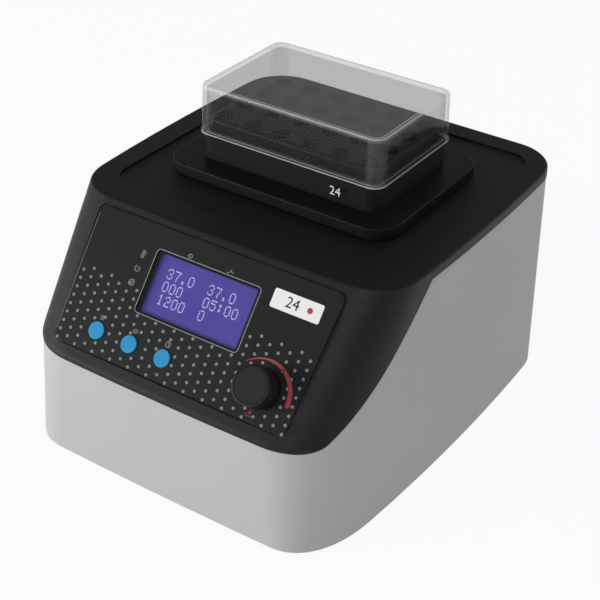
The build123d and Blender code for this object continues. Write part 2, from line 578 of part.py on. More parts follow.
def clear_lid():
    """Clear cover with drafted walls, a rim that rests on the block and two small tabs in front."""
    height = LID_TOP_Z - LID_SEAT_Z

    def section(z, grow, corner):
        return Pos(0, BLOCK_CENTRE_Y, z) * RectangleRounded(
            2 * (LID_HALF_WIDTH + grow), 2 * (LID_HALF_DEPTH + grow), corner).face()

    lid = loft([section(LID_SEAT_Z, LID_FLARE, LID_CORNER_RADIUS), section(LID_TOP_Z, 0, LID_CORNER_RADIUS)], ruled=True)
    lid = fillet(lid.faces().sort_by(Axis.Z)[-1].edges(), LID_EDGE_RADIUS)
    rim_flare = LID_FLARE * (1 - LID_RIM_HEIGHT / height) + LID_RIM_PROUD
    lid += loft([section(LID_SEAT_Z, LID_FLARE + LID_RIM_PROUD, LID_CORNER_RADIUS + LID_RIM_PROUD),
                 section(LID_SEAT_Z + LID_RIM_HEIGHT, rim_flare, LID_CORNER_RADIUS + LID_RIM_PROUD)], ruled=True)
    for side in SIDES:
        tab = Box(LID_TAB_WIDTH, 1.2, 2 * LID_RIM_HEIGHT, align=(Align.CENTER, Align.MIN, Align.MIN))
        lid += Pos(side * LID_TAB_X, BLOCK_CENTRE_Y - LID_HALF_DEPTH - LID_FLARE - LID_RIM_PROUD, LID_SEAT_Z) * tab
    inner_corner = LID_CORNER_RADIUS - LID_WALL
    lid -= loft([section(LID_SEAT_Z, LID_FLARE - LID_WALL, inner_corner),
                 section(LID_TOP_Z - LID_WALL, -LID_WALL, inner_corner)], ruled=True)
    return lid


def eccentric_shaft():
    """Motor shaft with its crank web and the offset pin that carries the platform."""
    shaft = Pos(0, DRIVE_Y, MOTOR_PLATE_Z - 24) * Cylinder(SHAFT_RADIUS, platform_z - 1.5 - MOTOR_PLATE_Z + 24,
                                                           align=FROM_BASE)
    web_z = platform_z - 4.5
    shaft += Pos(0, DRIVE_Y, web_z) * Cylinder(SHAFT_RADIUS + 4, 3.5, align=FROM_BASE)
    pin_length = platform_top_z - web_z - 0.5
    shaft += Pos(0, BLOCK_CENTRE_Y, web_z) * Cylinder(PIN_RADIUS, pin_length, align=FROM_BASE)
    return shaft


def counterweight():
    """Half disc opposite the pin, clamped to the shaft."""
    z = motor_top_z + 2.0
    disc = Cylinder(COUNTERWEIGHT_RADIUS, COUNTERWEIGHT_THICKNESS, align=FROM_BASE)
    keep = Pos(0, -REACH / 2 + 2, 0) * Box(REACH, REACH, REACH)
    weight = (disc & keep) + Cylinder(SHAFT_RADIUS + 5, COUNTERWEIGHT_THICKNESS, align=FROM_BASE)
    weight -= Cylinder(SHAFT_RADIUS, COUNTERWEIGHT_THICKNESS, align=FROM_BASE)
    grub = Rot(-90, 0, 0) * Cylinder(M3_RADIUS + SCREW_CLEARANCE, 20, align=FROM_BASE)
    weight -= Pos(0, 0, COUNTERWEIGHT_THICKNESS / 2) * grub
    return Pos(0, DRIVE_Y, z) * weight


def idler_crank(x, y):
    """Small crank with the same throw as the drive: it keeps the platform from turning."""
    low = MOTOR_PLATE_Z + 0.5
    web_z = platform_z - 1.5 - IDLER_WEB_THICKNESS
    crank = Pos(x, y, low) * Cylinder(IDLER_SHAFT_RADIUS, web_z - low, align=FROM_BASE)
    crank += Pos(x, y, web_z) * Cylinder(IDLER_WEB_RADIUS, IDLER_WEB_THICKNESS, align=FROM_BASE)
    pin_top = platform_top_z - 0.5
    crank += Pos(x, y + ORBIT_RADIUS, web_z) * Cylinder(IDLER_SHAFT_RADIUS, pin_top - web_z, align=FROM_BASE)
    return crank


def platform_plate():
    plate = rounded_block(PLATFORM_HALF_WIDTH, PLATFORM_HALF_DEPTH, PLATFORM_CORNER_RADIUS, platform_z,
                          platform_top_z, BLOCK_CENTRE_Y)
    plate -= Pos(0, BLOCK_CENTRE_Y, platform_z) * Cylinder(BEARING_OUTER_RADIUS, 40)
    for x, y in IDLERS:
        hole = Cylinder(IDLER_SHAFT_RADIUS + OPEN_PIVOT_CLEARANCE, 40)
        plate -= Pos(x, y + ORBIT_RADIUS, platform_z) * hole
    for x, y in corners_of(BLOCK_SCREW_X, BLOCK_SCREW_Y):
        plate -= Pos(x, BLOCK_CENTRE_Y + y, platform_z) * Cylinder(M4_RADIUS + SCREW_CLEARANCE, 40)
        plate -= Pos(x, BLOCK_CENTRE_Y + y, platform_z) * Cylinder(M4_HEAD_RADIUS + FIT_CLEARANCE, 2 * HEAD_RECESS)
    return plate


def stack_layer(z_low, z_high):
    """One flat layer of the heated stack, with the holes for the block screws and the sensor lead."""
    layer = rounded_block(BLOCK_HALF_WIDTH, BLOCK_HALF_DEPTH, BLOCK_CORNER_RADIUS, z_low, z_high, BLOCK_CENTRE_Y)
    for x, y in corners_of(BLOCK_SCREW_X, BLOCK_SCREW_Y):
        layer -= Pos(x, BLOCK_CENTRE_Y + y, z_low) * Cylinder(M4_RADIUS + SCREW_CLEARANCE, 40)
    layer -= Pos(0, BLOCK_CENTRE_Y, z_low) * Cylinder(SENSOR_RADIUS + SCREW_CLEARANCE, 40)
    return layer


def motor_plate():
    plate = rounded_block(MOTOR_PLATE_HALF_WIDTH, MOTOR_PLATE_HALF_DEPTH, 8, MOTOR_PLATE_Z, motor_top_z, DRIVE_Y)
    plate -= Pos(0, DRIVE_Y, MOTOR_PLATE_Z) * Cylinder(BEARING_OUTER_RADIUS, 40)
    for x, y in IDLERS:
        plate -= Pos(x, y, MOTOR_PLATE_Z) * Cylinder(IDLER_BEARING_RADIUS, 40)
    for x, y in PILLARS:
        plate -= Pos(x, y, MOTOR_PLATE_Z) * Cylinder(M4_RADIUS + SCREW_CLEARANCE, 40)
    for x, y in corners_of(MOTOR_SCREW_OFFSET, MOTOR_SCREW_OFFSET):
        plate -= Pos(x, DRIVE_Y + y, MOTOR_PLATE_Z) * Cylinder(M3_RADIUS + SCREW_CLEARANCE, 40)
    return plate


def motor_body():
    body = Pos(0, DRIVE_Y, MOTOR_PLATE_Z - MOTOR_HEIGHT) * Cylinder(MOTOR_RADIUS, MOTOR_HEIGHT, align=FROM_BASE)
    body = chamfer(body.faces().sort_by(Axis.Z)[0].edges(), 3)
    for step in range(3):
        z = MOTOR_PLATE_Z - MOTOR_HEIGHT + 12 + 8 * step
        body -= Pos(0, DRIVE_Y, z) * ring(MOTOR_RADIUS + 1, MOTOR_RADIUS - 1.2, 3)
    body -= Pos(0, DRIVE_Y, MOTOR_PLATE_Z) * Cylinder(SHAFT_RADIUS + RUNNING_CLEARANCE, 25, align=FROM_TOP)
    for x, y in corners_of(MOTOR_SCREW_OFFSET, MOTOR_SCREW_OFFSET):
        body -= Pos(x, DRIVE_Y + y, MOTOR_PLATE_Z) * Cylinder(M3_RADIUS + SCREW_CLEARANCE, 8, align=FROM_TOP)
    return body


def control_panel():
    """Thin printed front sheet with the window, button and knob holes."""
    sheet = down_slope(0, 0, PANEL_RECESS) * extrude(panel_outline(0), PANEL_THICKNESS)
    window = RectangleRounded(2 * (WINDOW_HALF_WIDTH + SCREW_CLEARANCE), 2 * (WINDOW_HALF_HEIGHT + SCREW_CLEARANCE),
                              WINDOW_CORNER_RADIUS)
    sheet -= down_slope(0, WINDOW_DOWN, 2) * extrude(window, 4)
    for x in BUTTON_X:
        sheet -= down_slope(x, BUTTON_DOWN, 2) * Cylinder(BUTTON_RADIUS + BUTTON_CLEARANCE, 4, align=FROM_BASE)
    sheet -= down_slope(KNOB_X, KNOB_DOWN, 2) * Cylinder(ENCODER_SHAFT_RADIUS + 1.5, 4, align=FROM_BASE)
    return sheet


def display_window():
    pane = RectangleRounded(2 * WINDOW_HALF_WIDTH, 2 * WINDOW_HALF_HEIGHT, WINDOW_CORNER_RADIUS)
    return down_slope(0, WINDOW_DOWN, PANEL_RECESS) * extrude(pane, WINDOW_THICKNESS - 0.15)


def display_module():
    """Screen glass on a carrier that stands on the control board."""
    screen = Box(2 * SCREEN_HALF_WIDTH, 2 * SCREEN_HALF_HEIGHT, 2.0, align=FROM_TOP)
    carrier = Box(2 * (SCREEN_HALF_WIDTH + MODULE_MARGIN), 2 * (SCREEN_HALF_HEIGHT + MODULE_MARGIN),
                  BOARD_DEPTH - SCREEN_DEPTH - 2.0, align=FROM_TOP)
    return down_slope(0, WINDOW_DOWN, SCREEN_DEPTH) * (screen + Pos(0, 0, -2.0) * carrier)


def control_board():
    height = BOARD_BOTTOM - BOARD_TOP
    board = down_slope(0, (BOARD_TOP + BOARD_BOTTOM) / 2, BOARD_DEPTH) * Box(
        2 * BOARD_HALF_WIDTH, height, BOARD_THICKNESS, align=FROM_TOP)
    for across, down in BOARD_POSTS:
        board -= down_slope(across, down, BOARD_DEPTH) * Cylinder(M3_RADIUS + SCREW_CLEARANCE, 10)
    return board


def button(x):
    """Round cap with a flange behind the panel wall and a stem down to its switch."""
    foot_depth = WALL + BUTTON_FLANGE_DROP + 0.9
    cap = down_slope(x, BUTTON_DOWN, foot_depth) * Cylinder(BUTTON_RADIUS, foot_depth + BUTTON_PROUD, align=FROM_BASE)
    outer_edge = cap.faces().sort_by(lambda f: f.center().Z)[-1].edges()
    cap = fillet(outer_edge, 0.35)
    cap += down_slope(x, BUTTON_DOWN, foot_depth) * Cylinder(BUTTON_FLANGE_RADIUS, 0.9, align=FROM_BASE)
    stem_length = BOARD_DEPTH - 4.3 - foot_depth - BUTTON_TRAVEL - 0.1
    cap += down_slope(x, BUTTON_DOWN, foot_depth) * Cylinder(1.8, stem_length, align=FROM_TOP)
    return cap


def button_switch(x):
    body = Box(6, 6, 3.4, align=FROM_BASE) + Pos(0, 0, 3.4) * Cylinder(1.7, 0.9, align=FROM_BASE)
    return down_slope(x, BUTTON_DOWN, BOARD_DEPTH) * body


def encoder_body():
    body = Box(ENCODER_BODY, ENCODER_BODY, 6.5, align=FROM_BASE)
    body += Pos(0, 0, 6.5) * Cylinder(ENCODER_SHAFT_RADIUS + 1.0, 5.5, align=FROM_BASE)
    body -= Cylinder(ENCODER_SHAFT_RADIUS + RUNNING_CLEARANCE, 30, align=FROM_BASE)
    return down_slope(KNOB_X, KNOB_DOWN, BOARD_DEPTH) * body


def encoder_shaft():
    length = BOARD_DEPTH - 1.0 + KNOB_LIFT + 8.0
    shaft = Cylinder(ENCODER_SHAFT_RADIUS, length, align=FROM_BASE)
    shaft -= Pos(ENCODER_SHAFT_RADIUS - 0.7, 0, length - 6) * Box(2, 10, 7, align=(Align.MIN, Align.CENTER, Align.MIN))
    return down_slope(KNOB_X, KNOB_DOWN, BOARD_DEPTH - 1.0) * shaft


def control_knob():
    """Hollow-backed round knob with a socket that slides on the flatted shaft."""
    knob = Cylinder(KNOB_RADIUS, KNOB_HEIGHT, align=FROM_BASE)
    knob = fillet(knob.faces().sort_by(Axis.Z)[-1].edges(), 0.6)
    knob -= Cylinder(KNOB_RADIUS - 1.6, KNOB_HEIGHT - 3.4, align=FROM_BASE)
    knob += ring(ENCODER_SHAFT_RADIUS + 2.0, ENCODER_SHAFT_RADIUS + RUNNING_CLEARANCE, KNOB_HEIGHT - 2.0)
    knob -= Pos(0, 0, KNOB_HEIGHT - KNOB_CAP_THICKNESS) * Cylinder(KNOB_CAP_RADIUS + 0.15, 5, align=FROM_BASE)
    return down_slope(KNOB_X, KNOB_DOWN, -KNOB_LIFT + 0.1) * knob


def knob_cap():
    cap = Cylinder(KNOB_CAP_RADIUS, KNOB_CAP_THICKNESS - 0.1, align=FROM_BASE)
    return down_slope(KNOB_X, KNOB_DOWN, -KNOB_LIFT + 0.1 - KNOB_HEIGHT + KNOB_CAP_THICKNESS) * cap


def mains_inlet():
    """Rear inlet module: flange, socket recess and the slot of the fuse drawer."""
    body = Box(2 * INLET_HALF_WIDTH, 2 * INLET_HALF_HEIGHT, INLET_DEPTH, align=FROM_TOP)
    flange = Box(2 * INLET_HALF_WIDTH + 6, 2 * INLET_HALF_HEIGHT + 4, REAR_FLANGE_THICKNESS, align=FROM_BASE)
    body += flange
    socket = RectangleRounded(2 * SOCKET_HALF_WIDTH, 2 * SOCKET_HALF_HEIGHT, 2.0)
    body -= Pos(0, SOCKET_RISE, REAR_FLANGE_THICKNESS - SOCKET_DEPTH) * extrude(socket, SOCKET_DEPTH + 1)
    slot = Box(2 * DRAWER_HALF_WIDTH + 0.3, 2 * DRAWER_HALF_HEIGHT + 0.3, DRAWER_DEPTH + 1.3, align=FROM_TOP)
    body -= Pos(0, -DRAWER_DROP, REAR_FLANGE_THICKNESS + 1) * slot
    return on_rear(INLET_X, INLET_Z) * body


def inlet_pins():
    """Three flat blades that stand on the floor of the socket."""
    floor = REAR_FLANGE_THICKNESS - SOCKET_DEPTH
    pins = []
    for x, y in ((-7.0, -2.0), (7.0, -2.0), (0.0, 2.0)):
        blade = Box(2.0, 4.0, 13.0, align=FROM_BASE)
        pins.append(on_rear(INLET_X, INLET_Z) * Pos(x, SOCKET_RISE + y, floor) * blade)
    return pins


def fuse_drawer():
    drawer = Box(2 * DRAWER_HALF_WIDTH, 2 * DRAWER_HALF_HEIGHT, DRAWER_DEPTH, align=FROM_TOP)
    drawer -= Pos(0, 1.0, -4.5) * Box(2 * DRAWER_HALF_WIDTH - 2.4, 2 * DRAWER_HALF_HEIGHT, DRAWER_DEPTH - 6, align=FROM_TOP)
    drawer -= Pos(0, DRAWER_HALF_HEIGHT, 0) * Box(7, 1.6, 2.0, align=(Align.CENTER, Align.MAX, Align.MAX))
    return on_rear(INLET_X, INLET_Z) * Pos(0, -DRAWER_DROP, REAR_FLANGE_THICKNESS) * drawer


def fuse():
    length = 2 * DRAWER_HALF_WIDTH - 3.0
    tube = Rot(0, 90, 0) * Cylinder(FUSE_RADIUS, length)
    place = Pos(0, -DRAWER_DROP + 1.0 - DRAWER_HALF_HEIGHT + FUSE_RADIUS + 0.05, REAR_FLANGE_THICKNESS - 9.0)
    return on_rear(INLET_X, INLET_Z) * place * tube


def switch_frame():
    body = Box(2 * SWITCH_HALF_WIDTH, 2 * SWITCH_HALF_HEIGHT, SWITCH_DEPTH, align=FROM_TOP)
    body += Box(2 * SWITCH_HALF_WIDTH + 4, 2 * SWITCH_HALF_HEIGHT + 4, REAR_FLANGE_THICKNESS, align=FROM_BASE)
    well = Box(2 * ROCKER_HALF_WIDTH + 0.8, 2 * ROCKER_HALF_HEIGHT + 0.8, 9.0, align=FROM_TOP)
    body -= Pos(0, 0, REAR_FLANGE_THICKNESS + 0.5) * well
    return on_rear(SWITCH_X, SWITCH_Z) * body


def power_rocker():
    """Rocker seen from the side: two faces that meet in a shallow V, at rest tilted to off."""
    pivot_depth = 3.0
    profile = Polyline((-ROCKER_HALF_HEIGHT + 0.4, 1.6), (0, 0.2), (ROCKER_HALF_HEIGHT - 0.4, 1.6),
                       (ROCKER_HALF_HEIGHT - 1.4, -3.2), (-ROCKER_HALF_HEIGHT + 1.4, -3.2),
                       (-ROCKER_HALF_HEIGHT + 0.4, 1.6))
    body = extrude(Plane.YZ * make_face(profile), ROCKER_HALF_WIDTH, both=True)
    tilted = Pos(0, 0, -pivot_depth) * Rot(ROCKER_TILT, 0, 0) * Pos(0, 0, pivot_depth) * body
    return on_rear(SWITCH_X, SWITCH_Z) * Pos(0, 0, REAR_FLANGE_THICKNESS - 3.0) * tilted


def fan_frame():
    """Square fan frame with a round duct, four spokes on the inner side and a hub cup."""
    frame = extrude(RectangleRounded(2 * FAN_HALF_SIZE, 2 * FAN_HALF_SIZE, 4), FAN_THICKNESS)
    frame -= Cylinder(FAN_HOLE_RADIUS, 60)
    for angle in (45, 135):
        frame += Rot(0, 0, angle) * Box(2 * FAN_HOLE_RADIUS + 2, 2.4, 2.0, align=FROM_BASE)
    frame += Cylinder(FAN_HUB_RADIUS, 2.0, align=FROM_BASE)
    frame += Cylinder(1.9, 9.0, align=FROM_BASE)
    for x, y in corners_of(FAN_SCREW_SPACING / 2, FAN_SCREW_SPACING / 2):
        frame -= Pos(x, y, 0) * Cylinder(M3_RADIUS + SCREW_CLEARANCE, 60)
    return on_rear(FAN_X, FAN_Z, REAR_SEAT_Y - FAN_REAR_Y + FAN_THICKNESS) * frame


def fan_rotor():
    """Hub with seven pitched and twisted blades."""
    hub = Pos(0, 0, 3.0) * Cylinder(FAN_HUB_RADIUS, FAN_THICKNESS - 4.0, align=FROM_BASE)
    hub = fillet(hub.faces().sort_by(Axis.Z)[-1].edges(), 1.2)
    hub -= Pos(0, 0, 3.0) * Cylinder(1.9 + RUNNING_CLEARANCE, 6.3, align=FROM_BASE)
    blade_mid = 3.0 + (FAN_THICKNESS - 4.0) / 2
    root_radius = FAN_HUB_RADIUS - 1.0
    tip_radius = FAN_HOLE_RADIUS - 1.2
    rotor = hub
    for index in range(FAN_BLADES):
        sections = []
        for radius, pitch, chord in ((root_radius, 52.0, 8.0), (tip_radius, 34.0, 13.0)):
            frame = Plane(origin=(radius, 0, blade_mid), x_dir=(0, 1, 0), z_dir=(1, 0, 0))
            sections.append(frame * Rot(0, 0, pitch) * RectangleRounded(chord, 1.2, 0.5).face())
        rotor += Rot(0, 0, index * 360.0 / FAN_BLADES) * loft(sections, ruled=True)
    return on_rear(FAN_X, FAN_Z, REAR_SEAT_Y - FAN_REAR_Y + FAN_THICKNESS) * rotor


def power_board():
    return Pos(POWER_BOARD_X, POWER_BOARD_Y, base_top_z + STANDOFF_HEIGHT) * Box(
        2 * POWER_BOARD_HALF_WIDTH, 2 * POWER_BOARD_HALF_LENGTH, BOARD_THICKNESS, align=FROM_BASE)


def power_board_parts():
    """Transformer, two capacitors, a heat sink and a terminal block on the power board."""
    top = base_top_z + STANDOFF_HEIGHT + BOARD_THICKNESS
    place = Pos(POWER_BOARD_X, POWER_BOARD_Y, top)
    transformer = Box(22, 26, 20, align=FROM_BASE) + Pos(0, 0, 3) * Box(26, 18, 14, align=FROM_BASE)
    sink = Box(2, 30, 24, align=FROM_BASE)
    for step in range(5):
        sink += Pos(0, (step - 2) * 6.5, 0) * Box(10, 1.6, 24, align=(Align.MIN, Align.CENTER, Align.MIN))
    return [
        place * transformer,
        place * Pos(-5, POWER_BOARD_HALF_LENGTH - LARGE_CAPACITOR_INSET, 0) * Cylinder(6, 22, align=FROM_BASE),
        place * Pos(7, POWER_BOARD_HALF_LENGTH - SMALL_CAPACITOR_INSET, 0) * Cylinder(5, 18, align=FROM_BASE),
        place * Pos(-4, HEAT_SINK_INSET - POWER_BOARD_HALF_LENGTH, 0) * sink,
        place * Pos(0, TERMINAL_INSET - POWER_BOARD_HALF_LENGTH, 0) * Box(18, 4, 8, align=FROM_BASE),
    ]


os.makedirs("parts", exist_ok=True)

save("lower_housing", lower_housing())
save("upper_housing", upper_housing())
save("base_plate", base_plate())
save("rubber_feet", group([Pos(x, y, 0) * rubber_foot() for x, y in FEET]))
foot_screw = Rot(180, 0, 0) * screw(M4_RADIUS, 6.5, M4_HEAD_RADIUS, FOOT_RECESS - 1.2, socket=True)
save("foot_screws", group([Pos(x, y, FOOT_RECESS) * foot_screw for x, y in FEET]))
long_screw = Rot(180, 0, 0) * screw(M4_RADIUS, COLUMN_JOINT_Z + COLUMN_THREAD_DEPTH - BASE_PLATE_Z, M4_HEAD_RADIUS,
                                    0.9)
save("housing_screws", group([Pos(x, y, BASE_PLATE_Z) * long_screw for x, y in COLUMNS]))

save("control_panel", control_panel())
save("display_window", display_window())
save("display_module", display_module())
badge = extrude(RectangleRounded(2 * BADGE_HALF_WIDTH, 2 * BADGE_HALF_HEIGHT, 1.2), BADGE_THICKNESS)
save("badge_plate", down_slope(BADGE_X, BADGE_DOWN, PANEL_RECESS - PANEL_THICKNESS) * badge)
save("control_board", control_board())
board_screw = Rot(180, 0, 0) * screw(M3_RADIUS, 6, M3_HEAD_RADIUS, M3_HEAD_HEIGHT)
save("board_screws", group([down_slope(a, d, BOARD_DEPTH + BOARD_THICKNESS) * board_screw for a, d in BOARD_POSTS]))
save("button_switches", group([button_switch(x) for x in BUTTON_X]))
for name, x in zip(("button_left", "button_middle", "button_right"), BUTTON_X):
    save(name, button(x))
save("encoder_body", encoder_body())
save("encoder_shaft", encoder_shaft())
save("control_knob", control_knob())
save("knob_cap", knob_cap())

save("motor_plate", motor_plate())
pillar_height = MOTOR_PLATE_Z - base_top_z
pillar = Cylinder(PILLAR_RADIUS, pillar_height, align=FROM_BASE)
pillar -= Cylinder(M4_RADIUS + SCREW_CLEARANCE, 10, align=FROM_BASE)
pillar -= Pos(0, 0, pillar_height) * Cylinder(M4_RADIUS + SCREW_CLEARANCE, 10, align=FROM_TOP)
save("motor_pillars", group([Pos(x, y, base_top_z) * pillar for x, y in PILLARS]))
top_screw = screw(M4_RADIUS, MOTOR_PLATE_THICKNESS + 8, M4_HEAD_RADIUS, M4_HEAD_HEIGHT)
bottom_screw = Rot(180, 0, 0) * screw(M4_RADIUS, BASE_PLATE_THICKNESS + 8, M4_HEAD_RADIUS, 0.9)
pillar_screws = [Pos(x, y, motor_top_z) * top_screw for x, y in PILLARS]
pillar_screws += [Pos(x, y, BASE_PLATE_Z) * bottom_screw for x, y in PILLARS]
save("pillar_screws", group(pillar_screws))
save("motor_body", motor_body())
motor_screw = screw(M3_RADIUS, MOTOR_PLATE_THICKNESS + 6, M3_HEAD_RADIUS, 1.6)
save("motor_screws", group([Pos(x, DRIVE_Y + y, motor_top_z) * motor_screw
                            for x, y in corners_of(MOTOR_SCREW_OFFSET, MOTOR_SCREW_OFFSET)]))
save("main_bearing", Pos(0, DRIVE_Y, MOTOR_PLATE_Z) * ring(BEARING_OUTER_RADIUS, SHAFT_RADIUS + RUNNING_CLEARANCE,
                                                           MOTOR_PLATE_THICKNESS))
idler_bearing = ring(IDLER_BEARING_RADIUS, IDLER_SHAFT_RADIUS + RUNNING_CLEARANCE, MOTOR_PLATE_THICKNESS)
save("idler_bearings", group([Pos(x, y, MOTOR_PLATE_Z) * idler_bearing for x, y in IDLERS]))
save("eccentric_shaft", eccentric_shaft())
save("counterweight", counterweight())
grub_screw = Rot(-90, 0, 0) * Cylinder(M3_RADIUS, 5, align=FROM_BASE)
save("counterweight_screw", Pos(0, DRIVE_Y + SHAFT_RADIUS, motor_top_z + 2 + COUNTERWEIGHT_THICKNESS / 2) * grub_screw)
for index, (x, y) in enumerate(IDLERS):
    save("idler_crank_" + str(index + 1), idler_crank(x, y))

save("platform_plate", platform_plate())
save("platform_bearing", Pos(0, BLOCK_CENTRE_Y, platform_z) * ring(
    BEARING_OUTER_RADIUS, PIN_RADIUS + RUNNING_CLEARANCE, PLATFORM_THICKNESS))
save("insulation_pad", stack_layer(platform_top_z, pad_top_z))
save("heater_plate", stack_layer(pad_top_z, heater_plate_top_z))
save("heater_mat", stack_layer(heater_plate_top_z, BLOCK_BOTTOM_Z))
save("thermal_block", thermal_block())
save("platform_skirt", platform_skirt())
stack_height = BLOCK_BOTTOM_Z - platform_z - HEAD_RECESS
block_screw = Rot(180, 0, 0) * screw(M4_RADIUS, stack_height + 8, M4_HEAD_RADIUS, M4_HEAD_HEIGHT)
save("block_screws", group([Pos(x, BLOCK_CENTRE_Y + y, platform_z + HEAD_RECESS) * block_screw
                            for x, y in corners_of(BLOCK_SCREW_X, BLOCK_SCREW_Y)]))
sensor_z = BLOCK_BOTTOM_Z + 9 - SENSOR_LENGTH
save("temperature_sensor", Pos(0, BLOCK_CENTRE_Y, sensor_z) * Cylinder(SENSOR_RADIUS, SENSOR_LENGTH, align=FROM_BASE))
save("clear_lid", clear_lid())

save("mains_inlet", mains_inlet())
save("inlet_pins", group(inlet_pins()))
save("fuse_drawer", fuse_drawer())
save("fuse", fuse())
save("switch_frame", switch_frame())
save("power_rocker", power_rocker())
save("fan_frame", fan_frame())
save("fan_rotor", fan_rotor())
fan_screw = Rot(180, 0, 0) * screw(M3_RADIUS, FAN_THICKNESS + 3.5, M3_HEAD_RADIUS, M3_HEAD_HEIGHT)
fan_front = REAR_SEAT_Y - FAN_REAR_Y + FAN_THICKNESS
save("fan_screws", group([on_rear(FAN_X + x, FAN_Z + z, fan_front) * fan_screw
                          for x, z in corners_of(FAN_SCREW_SPACING / 2, FAN_SCREW_SPACING / 2)]))

save("power_board", power_board())
save("power_board_parts", group(power_board_parts()))
standoff = Cylinder(STANDOFF_RADIUS, STANDOFF_HEIGHT, align=FROM_BASE)
save("board_standoffs", group([Pos(POWER_BOARD_X + x, POWER_BOARD_Y + y, base_top_z) * standoff
                               for x, y in corners_of(POWER_BOARD_HALF_WIDTH - 4, POWER_BOARD_HALF_LENGTH - 4)]))
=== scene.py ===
"""Dressed scene of a bench thermal mixer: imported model, finishes, panel prints, light and camera."""

import json
import math

import bmesh
import bpy
from mathutils import Matrix, Vector


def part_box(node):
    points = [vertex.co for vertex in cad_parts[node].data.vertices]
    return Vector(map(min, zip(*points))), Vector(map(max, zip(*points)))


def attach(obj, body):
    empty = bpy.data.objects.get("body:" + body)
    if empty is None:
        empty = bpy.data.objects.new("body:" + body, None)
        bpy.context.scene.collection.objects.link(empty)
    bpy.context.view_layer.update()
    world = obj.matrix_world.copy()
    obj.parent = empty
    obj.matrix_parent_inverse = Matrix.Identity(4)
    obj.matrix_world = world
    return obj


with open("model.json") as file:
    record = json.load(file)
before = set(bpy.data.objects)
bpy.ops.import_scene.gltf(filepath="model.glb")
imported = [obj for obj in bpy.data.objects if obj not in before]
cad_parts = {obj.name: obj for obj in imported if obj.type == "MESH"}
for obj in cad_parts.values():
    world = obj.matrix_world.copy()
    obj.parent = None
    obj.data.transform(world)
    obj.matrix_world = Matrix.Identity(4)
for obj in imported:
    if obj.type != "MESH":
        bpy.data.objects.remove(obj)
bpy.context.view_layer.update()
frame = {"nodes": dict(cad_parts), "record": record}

MM = 0.001

# Camera, worked out from the straight edges of the instrument in the photograph
CAMERA_PLACE = (0.40853, -0.61671, 0.53874)
CAMERA_YAW = math.radians(33.22)
CAMERA_PITCH = math.radians(32.68)
CAMERA_ROLL = math.radians(1.61)
CAMERA_LENS_MM = 88.9
CAMERA_SENSOR_MM = 36.0

# The sloping front face: where it bends down from the deck, and how steep it is
BEND = Vector((0.0, -71.3 * MM, 140.0 * MM))
SLOPE_DROP = 0.78019
SLOPE_REACH = 0.62555
SLOPE_ACROSS = Vector((1.0, 0.0, 0.0))
SLOPE_UP = Vector((0.0, SLOPE_REACH, SLOPE_DROP))
SLOPE_OUT = Vector((0.0, -SLOPE_DROP, SLOPE_REACH))

PRINT_THICKNESS = 0.05 * MM

# The middle of a noise's range, over which a finish varies
NOISE_LOW = 0.3
NOISE_HIGH = 0.7


# Shader maths
class Flow:
    """A number or colour that runs through a finish; arithmetic on numbers adds Math nodes."""

    def __init__(self, finish, socket):
        self.finish = finish
        self.socket = socket

    def __add__(self, other):
        return self.finish.maths("ADD", self, other)

    def __mul__(self, other):
        return self.finish.maths("MULTIPLY", self, other)

    def __sub__(self, other):
        return self.finish.maths("SUBTRACT", self, other)

    def __rsub__(self, other):
        return self.finish.maths("SUBTRACT", other, self)

    def __gt__(self, other):
        return self.finish.maths("GREATER_THAN", self, other)

    def __lt__(self, other):
        return self.finish.maths("LESS_THAN", self, other)


